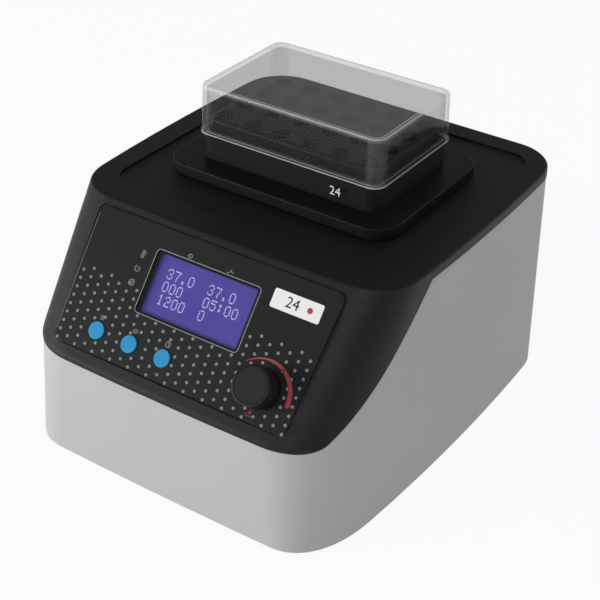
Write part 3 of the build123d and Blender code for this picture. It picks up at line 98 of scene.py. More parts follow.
class Finish:
    """One material, with its node tree."""

    def __init__(self, name):
        self.material = bpy.data.materials.new(name)
        self.material.use_nodes = True
        self.tree = self.material.node_tree
        self.tree.nodes.clear()
        self.end = self.tree.nodes.new("ShaderNodeOutputMaterial")
        place = self.tree.nodes.new("ShaderNodeTexCoord")
        self.place = Flow(self, place.outputs["Object"])

    def node(self, kind, settings=None, *values, out=0, **named):
        made = self.tree.nodes.new(kind)
        for key, value in (settings or {}).items():
            if key == "stops":
                self.set_stops(made.color_ramp, value)
            else:
                setattr(made, key, value)
        for slot, value in list(enumerate(values)) + list(named.items()):
            key = slot.replace("_", " ") if isinstance(slot, str) else slot
            self.feed(made.inputs[key], value)
        return Flow(self, made.outputs[out])

    def feed(self, socket, value):
        if isinstance(value, Flow):
            self.tree.links.new(value.socket, socket)
        elif value is not None:
            socket.default_value = value

    def set_stops(self, ramp, stops):
        while len(ramp.elements) < len(stops):
            ramp.elements.new(0.5)
        for element, (position, value) in zip(ramp.elements, stops):
            element.position = position
            element.color = (value, value, value, 1.0)

    def noise(self, size, detail=2.0, rough=0.5, stretch=(1.0, 1.0, 1.0)):
        """Noise from 0 to 1 with blotches about size metres wide."""
        scaled = self.node("ShaderNodeMapping", None, Vector=self.place, Scale=stretch)
        return self.node(
            "ShaderNodeTexNoise", None,
            Vector=scaled, Scale=1.0 / size, Detail=detail, Roughness=rough,
        )

    def maths(self, operation, *terms):
        return self.node("ShaderNodeMath", {"operation": operation}, *terms)

    def line(self, distance, half_width):
        """1 where distance is 0, fading to 0 at half_width either side."""
        near = 1.0 - self.maths("ABSOLUTE", distance) * (1.0 / half_width)
        return self.maths("MAXIMUM", near, 0.0)

    def ramp(self, factor, stops):
        return self.node("ShaderNodeValToRGB", {"stops": stops}, factor)

    def vary(self, noise, low, high):
        """From low to high over the middle of a noise's range, where most of it lies."""
        return self.ramp(noise, [(NOISE_LOW, low), (NOISE_HIGH, high)])

    def blend(self, factor, first, second):
        made = self.tree.nodes.new("ShaderNodeMix")
        made.data_type = "RGBA"
        self.feed(made.inputs["Factor"], factor)
        self.feed(made.inputs["A"], first)
        self.feed(made.inputs["B"], second)
        return Flow(self, made.outputs["Result"])

    def bump(self, height, distance, strength):
        return self.node(
            "ShaderNodeBump", None, Strength=strength, Distance=distance, Height=height
        )

    def surface(self, **inputs):
        return self.node("ShaderNodeBsdfPrincipled", None, **inputs)

    def axis(self, letter):
        """One coordinate of the place on the object, in metres."""
        parts = self.node("ShaderNodeSeparateXYZ", None, self.place)
        return Flow(self, parts.socket.node.outputs[letter])

    def close(self, shader):
        self.tree.links.new(shader.socket, self.end.inputs["Surface"])
        return self.material


def tint(value, warmth=0.0):
    return (value * (1.0 + warmth), value, value * (1.0 - warmth), 1.0)


# Finishes
def moulded_grey():
    f = Finish("moulded_grey")
    cloud = f.noise(0.09)
    grain = f.noise(0.0009, detail=3.0, rough=0.6)
    colour = f.blend(cloud, (0.470, 0.474, 0.466, 1.0), (0.510, 0.513, 0.505, 1.0))
    rough = f.vary(grain, 0.46, 0.56)
    return f.close(f.surface(
        Base_Color=colour, Roughness=rough, Specular_IOR_Level=0.35,
        Normal=f.bump(grain, distance=0.00003, strength=0.35),
    ))


def sparked_black():
    f = Finish("sparked_black")
    grain = f.noise(0.0011, detail=3.0, rough=0.65)
    pits = f.node("ShaderNodeTexVoronoi", None, Vector=f.place, Scale=1.0 / 0.0008)
    cloud = f.noise(0.05, detail=1.0)
    colour = f.blend(cloud, (0.0080, 0.0080, 0.0084, 1.0), (0.0115, 0.0116, 0.0120, 1.0))
    rough = f.vary(grain, 0.44, 0.62)
    return f.close(f.surface(
        Base_Color=colour, Roughness=rough, Specular_IOR_Level=0.25,
        Normal=f.bump(grain + pits * 0.4, distance=0.00007, strength=0.8),
    ))


def panel_film():
    f = Finish("panel_film")
    grain = f.noise(0.0006)
    cloud = f.noise(0.06, detail=1.0)
    colour = f.blend(cloud, (0.0120, 0.0128, 0.0132, 1.0), (0.0185, 0.0195, 0.0200, 1.0))
    rough = f.vary(grain, 0.30, 0.38)
    return f.close(f.surface(
        Base_Color=colour, Roughness=rough, Specular_IOR_Level=0.22,
        Normal=f.bump(grain, distance=0.00002, strength=0.25),
    ))


INK_DIM_SHARE = 0.82


def print_ink(name, colour):
    f = Finish(name)
    speckle = f.noise(0.0004)
    dim = tuple(INK_DIM_SHARE * part for part in colour[:3]) + (1.0,)
    return f.close(f.surface(
        Base_Color=f.blend(speckle, dim, colour), Roughness=0.55, Specular_IOR_Level=0.3,
    ))


EDGE_ON_COVER = 0.4


def thin_clear(name, colour, alpha):
    """Thin clear sheet: what is behind shows through, less so where it is seen edge on."""
    f = Finish(name)
    smear = f.noise(0.01)
    edge_on = f.node("ShaderNodeLayerWeight", None, Blend=0.25, out="Facing")
    return f.close(f.surface(
        Base_Color=colour, Roughness=f.vary(smear, 0.03, 0.06),
        Alpha=edge_on * edge_on * EDGE_ON_COVER + alpha,
    ))


LID_CENTRE_Y = 28.0 * MM
LID_HALF = (60.3 * MM, 39.9 * MM)
LID_CORNER = 7.3 * MM
LID_WALL = 2.4 * MM
LID_TOP = 191.0 * MM
LID_SEAT = 162.1 * MM
LID_RIM = 2.0 * MM
LID_EDGE_HIGHLIGHT_BAND = 1.4 * MM         # how far down from the top the painted highlight on the top edge reaches
LID_CORNER_HIGHLIGHT_REACH = 1.0 * MM      # how far past the round the painted corner highlight runs
LID_INNER_HIGHLIGHT_LINE = 0.40 * MM       # half widths of the painted highlight lines
LID_OUTER_HIGHLIGHT_LINE = 0.55 * MM
LID_FOOT_HIGHLIGHT_LINE = 0.5 * MM
LID_OUTER_HIGHLIGHT_INSET = 0.5 * MM
LID_FOOT_HIGHLIGHT_RISE = 0.3 * MM
LID_PLATE_MARGIN = 0.1 * MM
LID_OUTER_HIGHLIGHT_SHARE = 0.8       # of the strength of the other painted highlight lines

# How far the painted highlights on the wall's top, the rim and the corners go towards the light colour
LID_WALL_HIGHLIGHT = 0.45
LID_RIM_HIGHLIGHT = 0.2
LID_CORNER_HIGHLIGHT = 0.12

# How much of what is behind the lid is covered by its plain stretches, and how much more where it is seen
# edge on and where highlights are painted
LID_COVER = 0.175
LID_EDGE_ON_COVER = 0.25
LID_HIGHLIGHT_LINE_COVER = 0.4
LID_WALL_HIGHLIGHT_COVER = 0.1
LID_RIM_HIGHLIGHT_COVER = 0.1
LID_CORNER_HIGHLIGHT_COVER = 0.06


def smoky_lid():
    """Slightly smoky clear plastic, with painted highlights along its edges, corners and rim, and a painted
    reflection on its top plate.
    """
    f = Finish("smoky_lid")
    x, y, z = f.axis("X"), f.axis("Y"), f.axis("Z")
    past_x = f.maths("ABSOLUTE", x) - (LID_HALF[0] - LID_CORNER)
    past_y = f.maths("ABSOLUTE", y - LID_CENTRE_Y) - (LID_HALF[1] - LID_CORNER)
    out_x = f.maths("MAXIMUM", past_x, 0.0)
    out_y = f.maths("MAXIMUM", past_y, 0.0)
    inside = f.maths("MINIMUM", f.maths("MAXIMUM", past_x, past_y), 0.0)
    outward = f.maths("SQRT", out_x * out_x + out_y * out_y) + inside - LID_CORNER
    # Painted highlights: masks for the light top edges, the lines, the rim and the corners
    top = z > LID_TOP - LID_EDGE_HIGHLIGHT_BAND
    wall_top_highlight = (outward > -LID_WALL) * top
    inner_highlight_line = f.line(outward + LID_WALL, LID_INNER_HIGHLIGHT_LINE) * top
    outer_highlight_line = f.line(outward + LID_OUTER_HIGHLIGHT_INSET, LID_OUTER_HIGHLIGHT_LINE) * top
    rim_highlight = z < LID_SEAT + LID_RIM
    foot_highlight_line = f.line(z - LID_SEAT - LID_FOOT_HIGHLIGHT_RISE, LID_FOOT_HIGHLIGHT_LINE)
    corner_highlight = (past_x > -LID_CORNER_HIGHLIGHT_REACH) * (past_y > -LID_CORNER_HIGHLIGHT_REACH) * (1.0 - top)
    lines = f.maths("MINIMUM", inner_highlight_line + outer_highlight_line * LID_OUTER_HIGHLIGHT_SHARE + foot_highlight_line, 1.0)
    # Painted highlight: how far each place is pushed towards the light colour
    light = lines + wall_top_highlight * LID_WALL_HIGHLIGHT + rim_highlight * LID_RIM_HIGHLIGHT + corner_highlight * LID_CORNER_HIGHLIGHT
    edge_on = f.node("ShaderNodeLayerWeight", None, Blend=0.3, out="Facing")
    cover = edge_on * edge_on * LID_EDGE_ON_COVER + LID_COVER + lines * LID_HIGHLIGHT_LINE_COVER
    cover = cover + wall_top_highlight * LID_WALL_HIGHLIGHT_COVER + corner_highlight * LID_CORNER_HIGHLIGHT_COVER + rim_highlight * LID_RIM_HIGHLIGHT_COVER
    # Painted reflection: the top plate gets a lighter colour than the walls
    painted_reflection_mask = z > LID_TOP - LID_WALL - LID_PLATE_MARGIN
    plain = f.blend(painted_reflection_mask, (0.05, 0.05, 0.05, 1), (0.36, 0.36, 0.355, 1))
    smear = f.noise(0.012)
    return f.close(f.surface(
        Base_Color=f.blend(f.maths("MINIMUM", light, 1.0), plain, (0.80, 0.80, 0.79, 1)),
        Roughness=f.vary(smear, 0.04, 0.07),
        Alpha=f.maths("MINIMUM", cover, 1.0),
    ))


DISPLAY_HALF_CELL = 0.25 * MM


def lit_display():
    """Blue screen with a faint upright line between its cells."""
    f = Finish("lit_display")
    lines = f.maths("PINGPONG", f.axis("X"), DISPLAY_HALF_CELL)
    cell = f.ramp(lines * (1.0 / DISPLAY_HALF_CELL), [(0.0, 0.86), (0.35, 1.0)])
    glow = f.noise(0.03, detail=1.0)
    base = f.blend(glow, (0.058, 0.047, 0.290, 1.0), (0.080, 0.066, 0.350, 1.0))
    colour = f.blend(cell, (0.052, 0.042, 0.270, 1.0), base)
    return f.close(f.surface(
        Base_Color=colour, Roughness=0.4, Specular_IOR_Level=0.2,
        Emission_Color=colour, Emission_Strength=0.26,
    ))


def display_ink():
    f = Finish("display_ink")
    glow = f.noise(0.002, detail=1.0)
    colour = f.blend(glow, (0.52, 0.47, 0.86, 1.0), (0.62, 0.57, 0.92, 1.0))
    return f.close(f.surface(
        Base_Color=colour, Roughness=0.5, Emission_Color=colour, Emission_Strength=0.34,
    ))


def smooth_plastic(name, low, high, rough_low, rough_high, grain_size, depth, specular):
    """Moulded plastic or rubber: two close colours, and grain of a named size."""
    f = Finish(name)
    cloud = f.noise(0.02, detail=1.0)
    grain = f.noise(grain_size, detail=3.0, rough=0.6)
    return f.close(f.surface(
        Base_Color=f.blend(cloud, low, high),
        Roughness=f.vary(grain, rough_low, rough_high),
        Specular_IOR_Level=specular, Normal=f.bump(grain, distance=depth, strength=0.5),
    ))


METAL_ROUGH_SPREAD = 0.14


def worked_metal(name, low, high, rough, stretch, grain, metallic, specular):
    """Machined, drawn or cast metal: its grain is stretched along the tool marks."""
    f = Finish(name)
    marks = f.noise(grain, detail=3.0, rough=0.6, stretch=stretch)
    stains = f.noise(0.02)
    return f.close(f.surface(
        Base_Color=f.blend(stains, low, high), Metallic=metallic, Specular_IOR_Level=specular,
        Roughness=f.vary(marks, rough, rough + METAL_ROUGH_SPREAD),
        Normal=f.bump(marks, distance=0.00002, strength=0.4),
    ))


def circuit_board(name):
    f = Finish(name)
    tracks = f.node(
        "ShaderNodeTexBrick", None,
        Vector=f.place, Color1=(0.010, 0.085, 0.030, 1.0), Color2=(0.014, 0.105, 0.040, 1.0),
        Mortar=(0.030, 0.170, 0.070, 1.0), Scale=90.0, Mortar_Size=0.018,
    )
    weave = f.noise(0.0008)
    return f.close(f.surface(
        Base_Color=tracks, Roughness=f.vary(weave, 0.32, 0.44),
    ))


def foam(name, low, high):
    f = Finish(name)
    cells = f.node("ShaderNodeTexVoronoi", None, Vector=f.place, Scale=1.0 / 0.0014)
    return f.close(f.surface(
        Base_Color=f.blend(cells, high, low), Roughness=0.95, Specular_IOR_Level=0.15,
        Normal=f.bump(cells, distance=0.0002, strength=0.8),
    ))


def component_mix():
    """Small parts on the boards: black and brown by patches of place."""
    f = Finish("board_components")
    patches = f.node("ShaderNodeTexVoronoi", {"feature": "F1"}, Vector=f.place, Scale=60.0)
    choice = f.ramp(patches, [(0.25, 0.0), (0.45, 1.0)])
    colour = f.blend(choice, (0.014, 0.014, 0.016, 1.0), (0.120, 0.085, 0.050, 1.0))
    return f.close(f.surface(Base_Color=colour, Roughness=0.42))


# Slot: darker and lighter colour, least and most roughness, grain size, bump depth, specular level
PLASTICS = {
    "badge_white": (tint(0.84), tint(0.90), 0.30, 0.40, 0.002, 1e-5, 0.5),
    "button_blue": ((0.014, 0.255, 0.520, 1), (0.020, 0.285, 0.560, 1), 0.40, 0.50, 0.0008, 2e-5, 0.3),
    "knob_black": (tint(0.005), tint(0.008), 0.34, 0.46, 0.0009, 4e-5, 0.30),
    "knob_cap_dark": (tint(0.012), tint(0.017), 0.50, 0.64, 0.0014, 8e-5, 0.20),
    "skirt_black": (tint(0.005), tint(0.008), 0.40, 0.54, 0.0010, 4e-5, 0.18),
    "part_black": ((0.012, 0.012, 0.013, 1), (0.020, 0.020, 0.021, 1), 0.40, 0.55, 0.0010, 4e-5, 0.5),
    "rocker_black": (tint(0.009), tint(0.013), 0.22, 0.32, 0.0015, 1e-5, 0.5),
    "foot_rubber": (tint(0.018), tint(0.026), 0.75, 0.90, 0.0012, 9e-5, 0.3),
    "heater_silicone": (
        (0.420, 0.085, 0.018, 1), (0.520, 0.120, 0.026, 1), 0.50, 0.66, 0.0015, 6e-5, 0.4),
}

# Slot: darker and lighter colour, least roughness, stretch of the grain, its size, metallic, specular
METALS = {
    "base_steel": (tint(0.40), tint(0.50), 0.34, (1, 12, 1), 0.0012, 1.0, 0.5),
    "screw_steel": (tint(0.48), tint(0.60), 0.26, (4, 4, 1), 0.0008, 1.0, 0.5),
    "shaft_steel": (tint(0.50), tint(0.62), 0.18, (1, 1, 9), 0.0010, 1.0, 0.5),
    "plate_aluminium": (tint(0.62), tint(0.74), 0.30, (1, 9, 1), 0.0012, 1.0, 0.5),
    "motor_metal": (tint(0.34), tint(0.44), 0.32, (1, 1, 7), 0.0014, 1.0, 0.5),
    "counterweight_iron": (tint(0.10, 0.06), tint(0.16, 0.10), 0.52, (1, 1, 1), 0.0018, 0.9, 0.5),
    "pin_brass": ((0.62, 0.44, 0.16, 1), (0.74, 0.56, 0.24, 1), 0.24, (4, 4, 1), 0.0008, 1.0, 0.5),
    "block_black": (tint(0.007), tint(0.011), 0.36, (6, 1, 1), 0.0009, 0.05, 0.22),
}


def make_finishes():
    """Every finish, under the record's material slot that it serves."""
    made = {
        "grey_housing": moulded_grey(),
        "black_housing": sparked_black(),
        "panel_film": panel_film(),
        "window_glass": thin_clear("window_glass", tint(0.10), 0.06),
        "lid_clear": smoky_lid(),
        "fuse_glass": thin_clear("fuse_glass", (0.75, 0.80, 0.78, 1), 0.30),
        "display_screen": lit_display(),
        "board_green": circuit_board("board_green"),
        "board_components": component_mix(),
        "insulation": foam("insulation", (0.42, 0.40, 0.36, 1), (0.62, 0.60, 0.55, 1)),
    }
    for slot, values in PLASTICS.items():
        made[slot] = smooth_plastic(slot, *values)
    for slot, values in METALS.items():
        made[slot] = worked_metal(slot, *values)
    return made


FINISHES = make_finishes()
INKS = {
    "ink_grey": print_ink("ink_grey", (0.235, 0.240, 0.240, 1)),
    "ink_light": print_ink("ink_light", (0.34, 0.35, 0.35, 1)),
    "ink_red": print_ink("ink_red", (0.42, 0.055, 0.070, 1)),
    "ink_black": print_ink("ink_black", (0.012, 0.012, 0.012, 1)),
    "ink_white": print_ink("ink_white", (0.80, 0.80, 0.80, 1)),
    "display_ink": display_ink(),
}


# Geometry Nodes
def new_tree(name, numbers):
    """A geometry tree with a mesh input, named number inputs and a mesh output."""
    tree = bpy.data.node_groups.new(name, "GeometryNodeTree")
    tree.interface.new_socket("Mesh", in_out="INPUT", socket_type="NodeSocketGeometry")
    for label, value in numbers.items():
        made = tree.interface.new_socket(label, in_out="INPUT", socket_type="NodeSocketFloat")
        made.default_value = value
    tree.interface.new_socket("Mesh", in_out="OUTPUT", socket_type="NodeSocketGeometry")
    return tree, tree.nodes.new("NodeGroupInput"), tree.nodes.new("NodeGroupOutput")


JOIN_GAP = 0.000002
SHARP_ANGLE = 0.5                # radians
DISC_SIDES = 16


def shading_tree():
    """Joins a node's loose triangles and shades its rounded faces smoothly."""
    tree, start, end = new_tree("round_shading", {"Gap": JOIN_GAP, "Sharp Angle": SHARP_ANGLE})
    merge = tree.nodes.new("GeometryNodeMergeByDistance")
    smooth = tree.nodes.new("GeometryNodeSetShadeSmooth")
    crisp = tree.nodes.new("GeometryNodeSetShadeSmooth")
    crisp.domain = "EDGE"
    angle = tree.nodes.new("GeometryNodeInputMeshEdgeAngle")
    wide = tree.nodes.new("FunctionNodeCompare")
    wide.operation = "GREATER_THAN"
    join = tree.links.new
    join(start.outputs["Mesh"], merge.inputs["Geometry"])
    join(start.outputs["Gap"], merge.inputs["Distance"])
    join(merge.outputs["Geometry"], smooth.inputs["Geometry"])
    smooth.inputs["Shade Smooth"].default_value = True
    join(smooth.outputs["Geometry"], crisp.inputs["Geometry"])
    join(angle.outputs["Unsigned Angle"], wide.inputs["A"])
    join(start.outputs["Sharp Angle"], wide.inputs["B"])
    join(wide.outputs["Result"], crisp.inputs["Selection"])
    crisp.inputs["Shade Smooth"].default_value = False
    join(crisp.outputs["Geometry"], end.inputs["Mesh"])
    return tree


def discs_tree():
    """Puts a thin printed disc on every point, lying on the slope."""
    numbers = {"Radius": MM, "Thickness": PRINT_THICKNESS, "Tilt": 0.0}
    tree, start, end = new_tree("printed_discs", numbers)
    disc = tree.nodes.new("GeometryNodeMeshCylinder")
    disc.inputs["Vertices"].default_value = DISC_SIDES
    spread = tree.nodes.new("GeometryNodeInstanceOnPoints")
    turn = tree.nodes.new("ShaderNodeCombineXYZ")
    real = tree.nodes.new("GeometryNodeRealizeInstances")
    paint = tree.nodes.new("GeometryNodeSetMaterial")
    paint.inputs["Material"].default_value = INKS["ink_grey"]
    join = tree.links.new
    join(start.outputs["Radius"], disc.inputs["Radius"])
    join(start.outputs["Thickness"], disc.inputs["Depth"])
    join(start.outputs["Mesh"], spread.inputs["Points"])
    join(disc.outputs["Mesh"], spread.inputs["Instance"])
    join(start.outputs["Tilt"], turn.inputs["X"])
    join(turn.outputs["Vector"], spread.inputs["Rotation"])
    join(spread.outputs["Instances"], real.inputs["Geometry"])
    join(real.outputs["Geometry"], paint.inputs["Geometry"])
    join(paint.outputs["Geometry"], end.inputs["Mesh"])
    return tree


def set_input(modifier, label, value):
    """Sets a tree's named input on its modifier, by the socket's identifier."""
    for item in modifier.node_group.interface.items_tree:
        if item.in_out == "INPUT" and item.name == label:
            modifier[item.identifier] = value


# Making meshes
def piece(name, mesh, finish, body):
    """A flat-shaded object of one finish that rides on a body."""
    mesh.materials.clear()
    mesh.materials.append(finish)
    for face in mesh.polygons:
        face.use_smooth = False
    made = bpy.data.objects.new(name, mesh)
    bpy.context.scene.collection.objects.link(made)
    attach(made, body)
    return made


def face_rise(node, foot, out):
    """How far a node's outermost point stands from foot along the direction out."""
    return max((v.co - foot).dot(out) for v in frame["nodes"][node].data.vertices)


def on_slope(across, down, rise):
    """A place on the sloping front: across and down in metres from the bend, rise outward."""
    return BEND + SLOPE_ACROSS * across - SLOPE_UP * down + SLOPE_OUT * rise


def slope_matrix(across, down, rise):
    """Carries a flat drawing, x across and y up, on to the slope."""
    turn = Matrix((SLOPE_ACROSS, SLOPE_UP, SLOPE_OUT)).transposed().to_4x4()
    return Matrix.Translation(on_slope(across, down, rise)) @ turn


def add_plate(bm, outline, matrix, thickness, hole=None):
    """A thin plate with the outline; with a hole outline of as many points it is a frame."""
    def row(points, height):
        return [bm.verts.new(matrix @ Vector((x, y, height))) for x, y in points]

    count = len(outline)
    low, high = row(outline, 0.0), row(outline, thickness)
    if hole is None:
        bm.faces.new(list(reversed(low)))
        bm.faces.new(high)
        rings = [(low, high)]
    else:
        low_in, high_in = row(hole, 0.0), row(hole, thickness)
        rings = [(low, high), (high, high_in), (high_in, low_in), (low_in, low)]
    for first, second in rings:
        for i in range(count):
            j = (i + 1) % count
            bm.faces.new((first[i], first[j], second[j], second[i]))


def finish_mesh(name, bm):
    bmesh.ops.recalc_face_normals(bm, faces=bm.faces)
    mesh = bpy.data.meshes.new(name)
    bm.to_mesh(mesh)
    bm.free()
    return mesh


CORNER_STEPS = 6


def rounded_outline(half_x, half_y, radius):
    points = []
    for quarter in range(4):
        centre_x = (half_x - radius) * (1 if quarter in (0, 3) else -1)
        centre_y = (half_y - radius) * (1 if quarter in (0, 1) else -1)
        for i in range(CORNER_STEPS + 1):
            angle = math.pi / 2 * (quarter + i / CORNER_STEPS)
            points.append((centre_x + radius * math.cos(angle), centre_y + radius * math.sin(angle)))
    return points


def stroke_outline(points, widths):
    """The two sides of a line of changing width, as one closed outline."""
    left, right = [], []
    for i, (x, y) in enumerate(points):
        before = points[max(i - 1, 0)]
        after = points[min(i + 1, len(points) - 1)]
        along = Vector((after[0] - before[0], after[1] - before[1])).normalized()
        half = widths[i] / 2
        left.append((x - along.y * half, y + along.x * half))
        right.append((x + along.y * half, y - along.x * half))
    return left + right[::-1]


def add_stroke(bm, points, widths, matrix):
    """A printed line of changing width as short plates joined end to end."""
    outline = stroke_outline(points, widths)
    count = len(points)
    rows = []
    for height in (0.0, PRINT_THICKNESS):
        rows.append([bm.verts.new(matrix @ Vector((x, y, height))) for x, y in outline])
    low, high = rows
    last = len(outline) - 1
    for i in range(count - 1):
        bm.faces.new((low[i], low[last - i], low[last - i - 1], low[i + 1]))
        bm.faces.new((high[i], high[i + 1], high[last - i - 1], high[last - i]))
    for i in range(len(outline)):
        j = (i + 1) % len(outline)
        bm.faces.new((low[i], low[j], high[j], high[i]))


def arc_points(centre, radius, start, stop, steps):
    turns = [start + (stop - start) * i / steps for i in range(steps + 1)]
    return [(centre[0] + radius * math.cos(t), centre[1] + radius * math.sin(t)) for t in turns]


def written(text, height, matrix):
    """Numbers in the built-in face, made a mesh before their place is applied."""
    curve = bpy.data.curves.new("number_" + text, "FONT")
    curve.body = text
    curve.size = height
    curve.extrude = PRINT_THICKNESS
    curve.align_x = "CENTER"
    curve.align_y = "CENTER"
    holder = bpy.data.objects.new(curve.name, curve)
    bpy.context.scene.collection.objects.link(holder)
    bpy.context.view_layer.update()
    graph = bpy.context.evaluated_depsgraph_get()
    mesh = bpy.data.meshes.new_from_object(holder.evaluated_get(graph))
    bpy.data.objects.remove(holder)
    mesh.transform(matrix)
    return mesh


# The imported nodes
FLAT_FACE_WEIGHT = 80


def dress_nodes():
    """Gives each node the finish of its record slot, and evenly shaded faces."""
    tree = shading_tree()
    slots = {part["node"]: part["material_slot"] for part in frame["record"]["subparts"]}
    for name, node in frame["nodes"].items():
        node.data.materials.clear()
        node.data.materials.append(FINISHES[slots[name]])
        modifier = node.modifiers.new("round_shading", "NODES")
        modifier.node_group = tree
        even = node.modifiers.new("even_shading", "WEIGHTED_NORMAL")
        even.keep_sharp = True
        even.weight = FLAT_FACE_WEIGHT


# Prints on the control panel
DOT_COLUMN_PITCH = 6.3 * MM
DOT_ROW_PITCH = 5.0 * MM
DOT_ORIGIN = (38.26 * MM, 42.55 * MM)
DOT_RADIUS = 0.92 * MM
DOT_COLUMNS = range(-18, 7)
DOT_ROWS = range(-1, 10)
DOT_TOP = 39.0 * MM
DOT_BOTTOM = 83.4 * MM
DISPLAY_CENTRE = (0.0, 35.1 * MM)
DISPLAY_HALF = (34.0 * MM, 17.9 * MM)
DOT_CLEARANCE = 1.9 * MM
DOT_CLEARANCE_DOWN = DOT_CLEARANCE * 0.6
DOT_BUTTON_CLEARANCE = DOT_RADIUS * 1.2
BUTTON_DOWN = 71.0 * MM
BUTTON_PLACES = [(across * MM, BUTTON_DOWN) for across in (-52.0, -29.2, -6.4)]
BUTTON_RADIUS = 5.0 * MM
KNOB_PLACE = (56.2 * MM, 65.0 * MM)
KNOB_RADIUS = 11.0 * MM


def dot_is_clear(across, down):
    """Whether a dot is in the printed band and off the display, the buttons and the knob."""
    if not DOT_TOP < down < DOT_BOTTOM:
        return False
    if abs(across - DISPLAY_CENTRE[0]) < DISPLAY_HALF[0] + DOT_CLEARANCE:
        if abs(down - DISPLAY_CENTRE[1]) < DISPLAY_HALF[1] + DOT_CLEARANCE_DOWN:
            return False
    for x, y in BUTTON_PLACES:
        if math.hypot(across - x, down - y) < BUTTON_RADIUS + DOT_BUTTON_CLEARANCE:
            return False
    return math.hypot(across - KNOB_PLACE[0], down - KNOB_PLACE[1]) > KNOB_RADIUS + DOT_RADIUS


def panel_dots(rise):
    """The grid of dots, with every other column half a step higher."""
    points = []
    for column in DOT_COLUMNS:
        across = DOT_ORIGIN[0] + column * DOT_COLUMN_PITCH
        shift = 0.5 if column % 2 else 0.0
        for row in DOT_ROWS:
            down = DOT_ORIGIN[1] + (row - shift) * DOT_ROW_PITCH
            if dot_is_clear(across, down):
                points.append(on_slope(across, down, rise + PRINT_THICKNESS / 2))
    mesh = bpy.data.meshes.new("panel_dot_points")
    mesh.from_pydata([tuple(p) for p in points], [], [])
    holder = bpy.data.objects.new("panel_dot_points", mesh)
    bpy.context.scene.collection.objects.link(holder)
    modifier = holder.modifiers.new("discs", "NODES")
    modifier.node_group = discs_tree()
    set_input(modifier, "Radius", DOT_RADIUS)
    set_input(modifier, "Tilt", math.atan2(SLOPE_DROP, SLOPE_REACH))
    bpy.context.view_layer.update()
    graph = bpy.context.evaluated_depsgraph_get()
    plain = bpy.data.meshes.new_from_object(holder.evaluated_get(graph))
    bpy.data.objects.remove(holder)
    piece("panel_dots", plain, INKS["ink_grey"], "housing")


ARC_CENTRE = (56.2 * MM, 67.5 * MM)
ARC_RADIUS = 16.9 * MM
ARC_START = math.radians(140.0)
ARC_END = math.radians(-6.0)
ARC_LEAD = 2.6 * MM              # how far outside its circle the sweep starts
ARC_LEAD_FADE = 3
ARC_WIDTH = 2.7 * MM
ARC_THIN_SHARE = 0.16            # of its width, where it starts
ARC_SWELL = 1.4
ARC_END_SHARE = 0.7              # the last point is drawn in a little
ARC_STEPS = 40


def turn_arc(rise):
    """The red sweep round the knob, thin where it starts and wide where it ends."""
    bm = bmesh.new()
    points, widths = [], []
    for i in range(ARC_STEPS + 1):
        share = i / ARC_STEPS
        angle = ARC_START + (ARC_END - ARC_START) * share
        radius = ARC_RADIUS + ARC_LEAD * (1.0 - share) ** ARC_LEAD_FADE
        points.append((radius * math.cos(angle), radius * math.sin(angle)))
        swell = math.sin(math.pi / 2 * share) ** ARC_SWELL
        widths.append(ARC_WIDTH * (ARC_THIN_SHARE + (1.0 - ARC_THIN_SHARE) * swell))
    widths[-1] = widths[-1] * ARC_END_SHARE
    add_stroke(bm, points, widths, slope_matrix(ARC_CENTRE[0], ARC_CENTRE[1], rise))
    made = piece("turn_arc", finish_mesh("turn_arc", bm), INKS["ink_red"], "housing")


LABEL_WIDTH = 0.36 * MM

# Plain signs drawn with lines, in millimetres round their own centre
SIGNS = {
    "warmth": [
        [(-0.55, 2.4), (-0.55, -0.6)], [(0.55, -0.6), (0.55, 2.4)],
        arc_points((0.0, 2.4), 0.55, 0.0, math.pi, 6),
        arc_points((0.0, -1.5), 1.05, math.radians(120), math.radians(420), 12),
        [(1.5, 2.0), (2.5, 2.0)], [(1.5, 1.0), (2.2, 1.0)], [(1.5, 0.0), (2.5, 0.0)],
    ],
    "turning": [
        arc_points((0.0, 0.0), 1.8, math.radians(110), math.radians(410), 14),
        [(0.2, 0.9), (1.2, 1.35), (1.7, 0.2)],
        [(-0.2, -0.2), (0.3, 0.2)],
    ],
    "clock": [
        arc_points((0.0, 0.0), 1.9, 0.0, math.pi * 2, 16),
        [(0.0, 1.3), (0.0, 0.0), (0.9, -0.5)],
    ],
    "wanted": [
        arc_points((0.0, 0.0), 1.3, 0.0, math.pi * 2, 14),
        [(-2.2, 0.0), (-1.3, 0.0)], [(1.3, 0.0), (2.2, 0.0)],
    ],
    "measured": [[(-2.4, -1.0), (-0.8, -1.0), (0.2, 1.1), (1.1, -0.3), (2.4, -0.3)]],
    "press": [
        [(0.0, 2.2), (0.0, -0.3)], [(-1.0, 0.7), (0.0, -0.4), (1.0, 0.7)],
        [(-2.3, -0.2), (-2.3, -1.6), (2.3, -1.6), (2.3, -0.2)],
    ],
    "lines": [[(-1.5, level), (1.5, level)] for level in (1.2, 0.0, -1.2)],
}

# Sign, place across and down in millimetres, size, ink
LABELS = [
    ("warmth", -42.4, 22.9, 0.8, "ink_light"),
    ("turning", -42.4, 31.2, 0.9, "ink_light"),
    ("clock", -42.6, 39.4, 0.9, "ink_light"),
    ("wanted", -13.7, 14.6, 0.8, "ink_light"),
    ("measured", 13.0, 14.7, 0.9, "ink_light"),
    ("lines", -51.6, 63.3, 0.8, "ink_light"),
    ("wanted", -28.4, 63.1, 0.8, "ink_light"),
    ("clock", -6.2, 62.9, 0.8, "ink_light"),
    ("press", 54.6, 79.2, 0.95, "ink_red"),
]


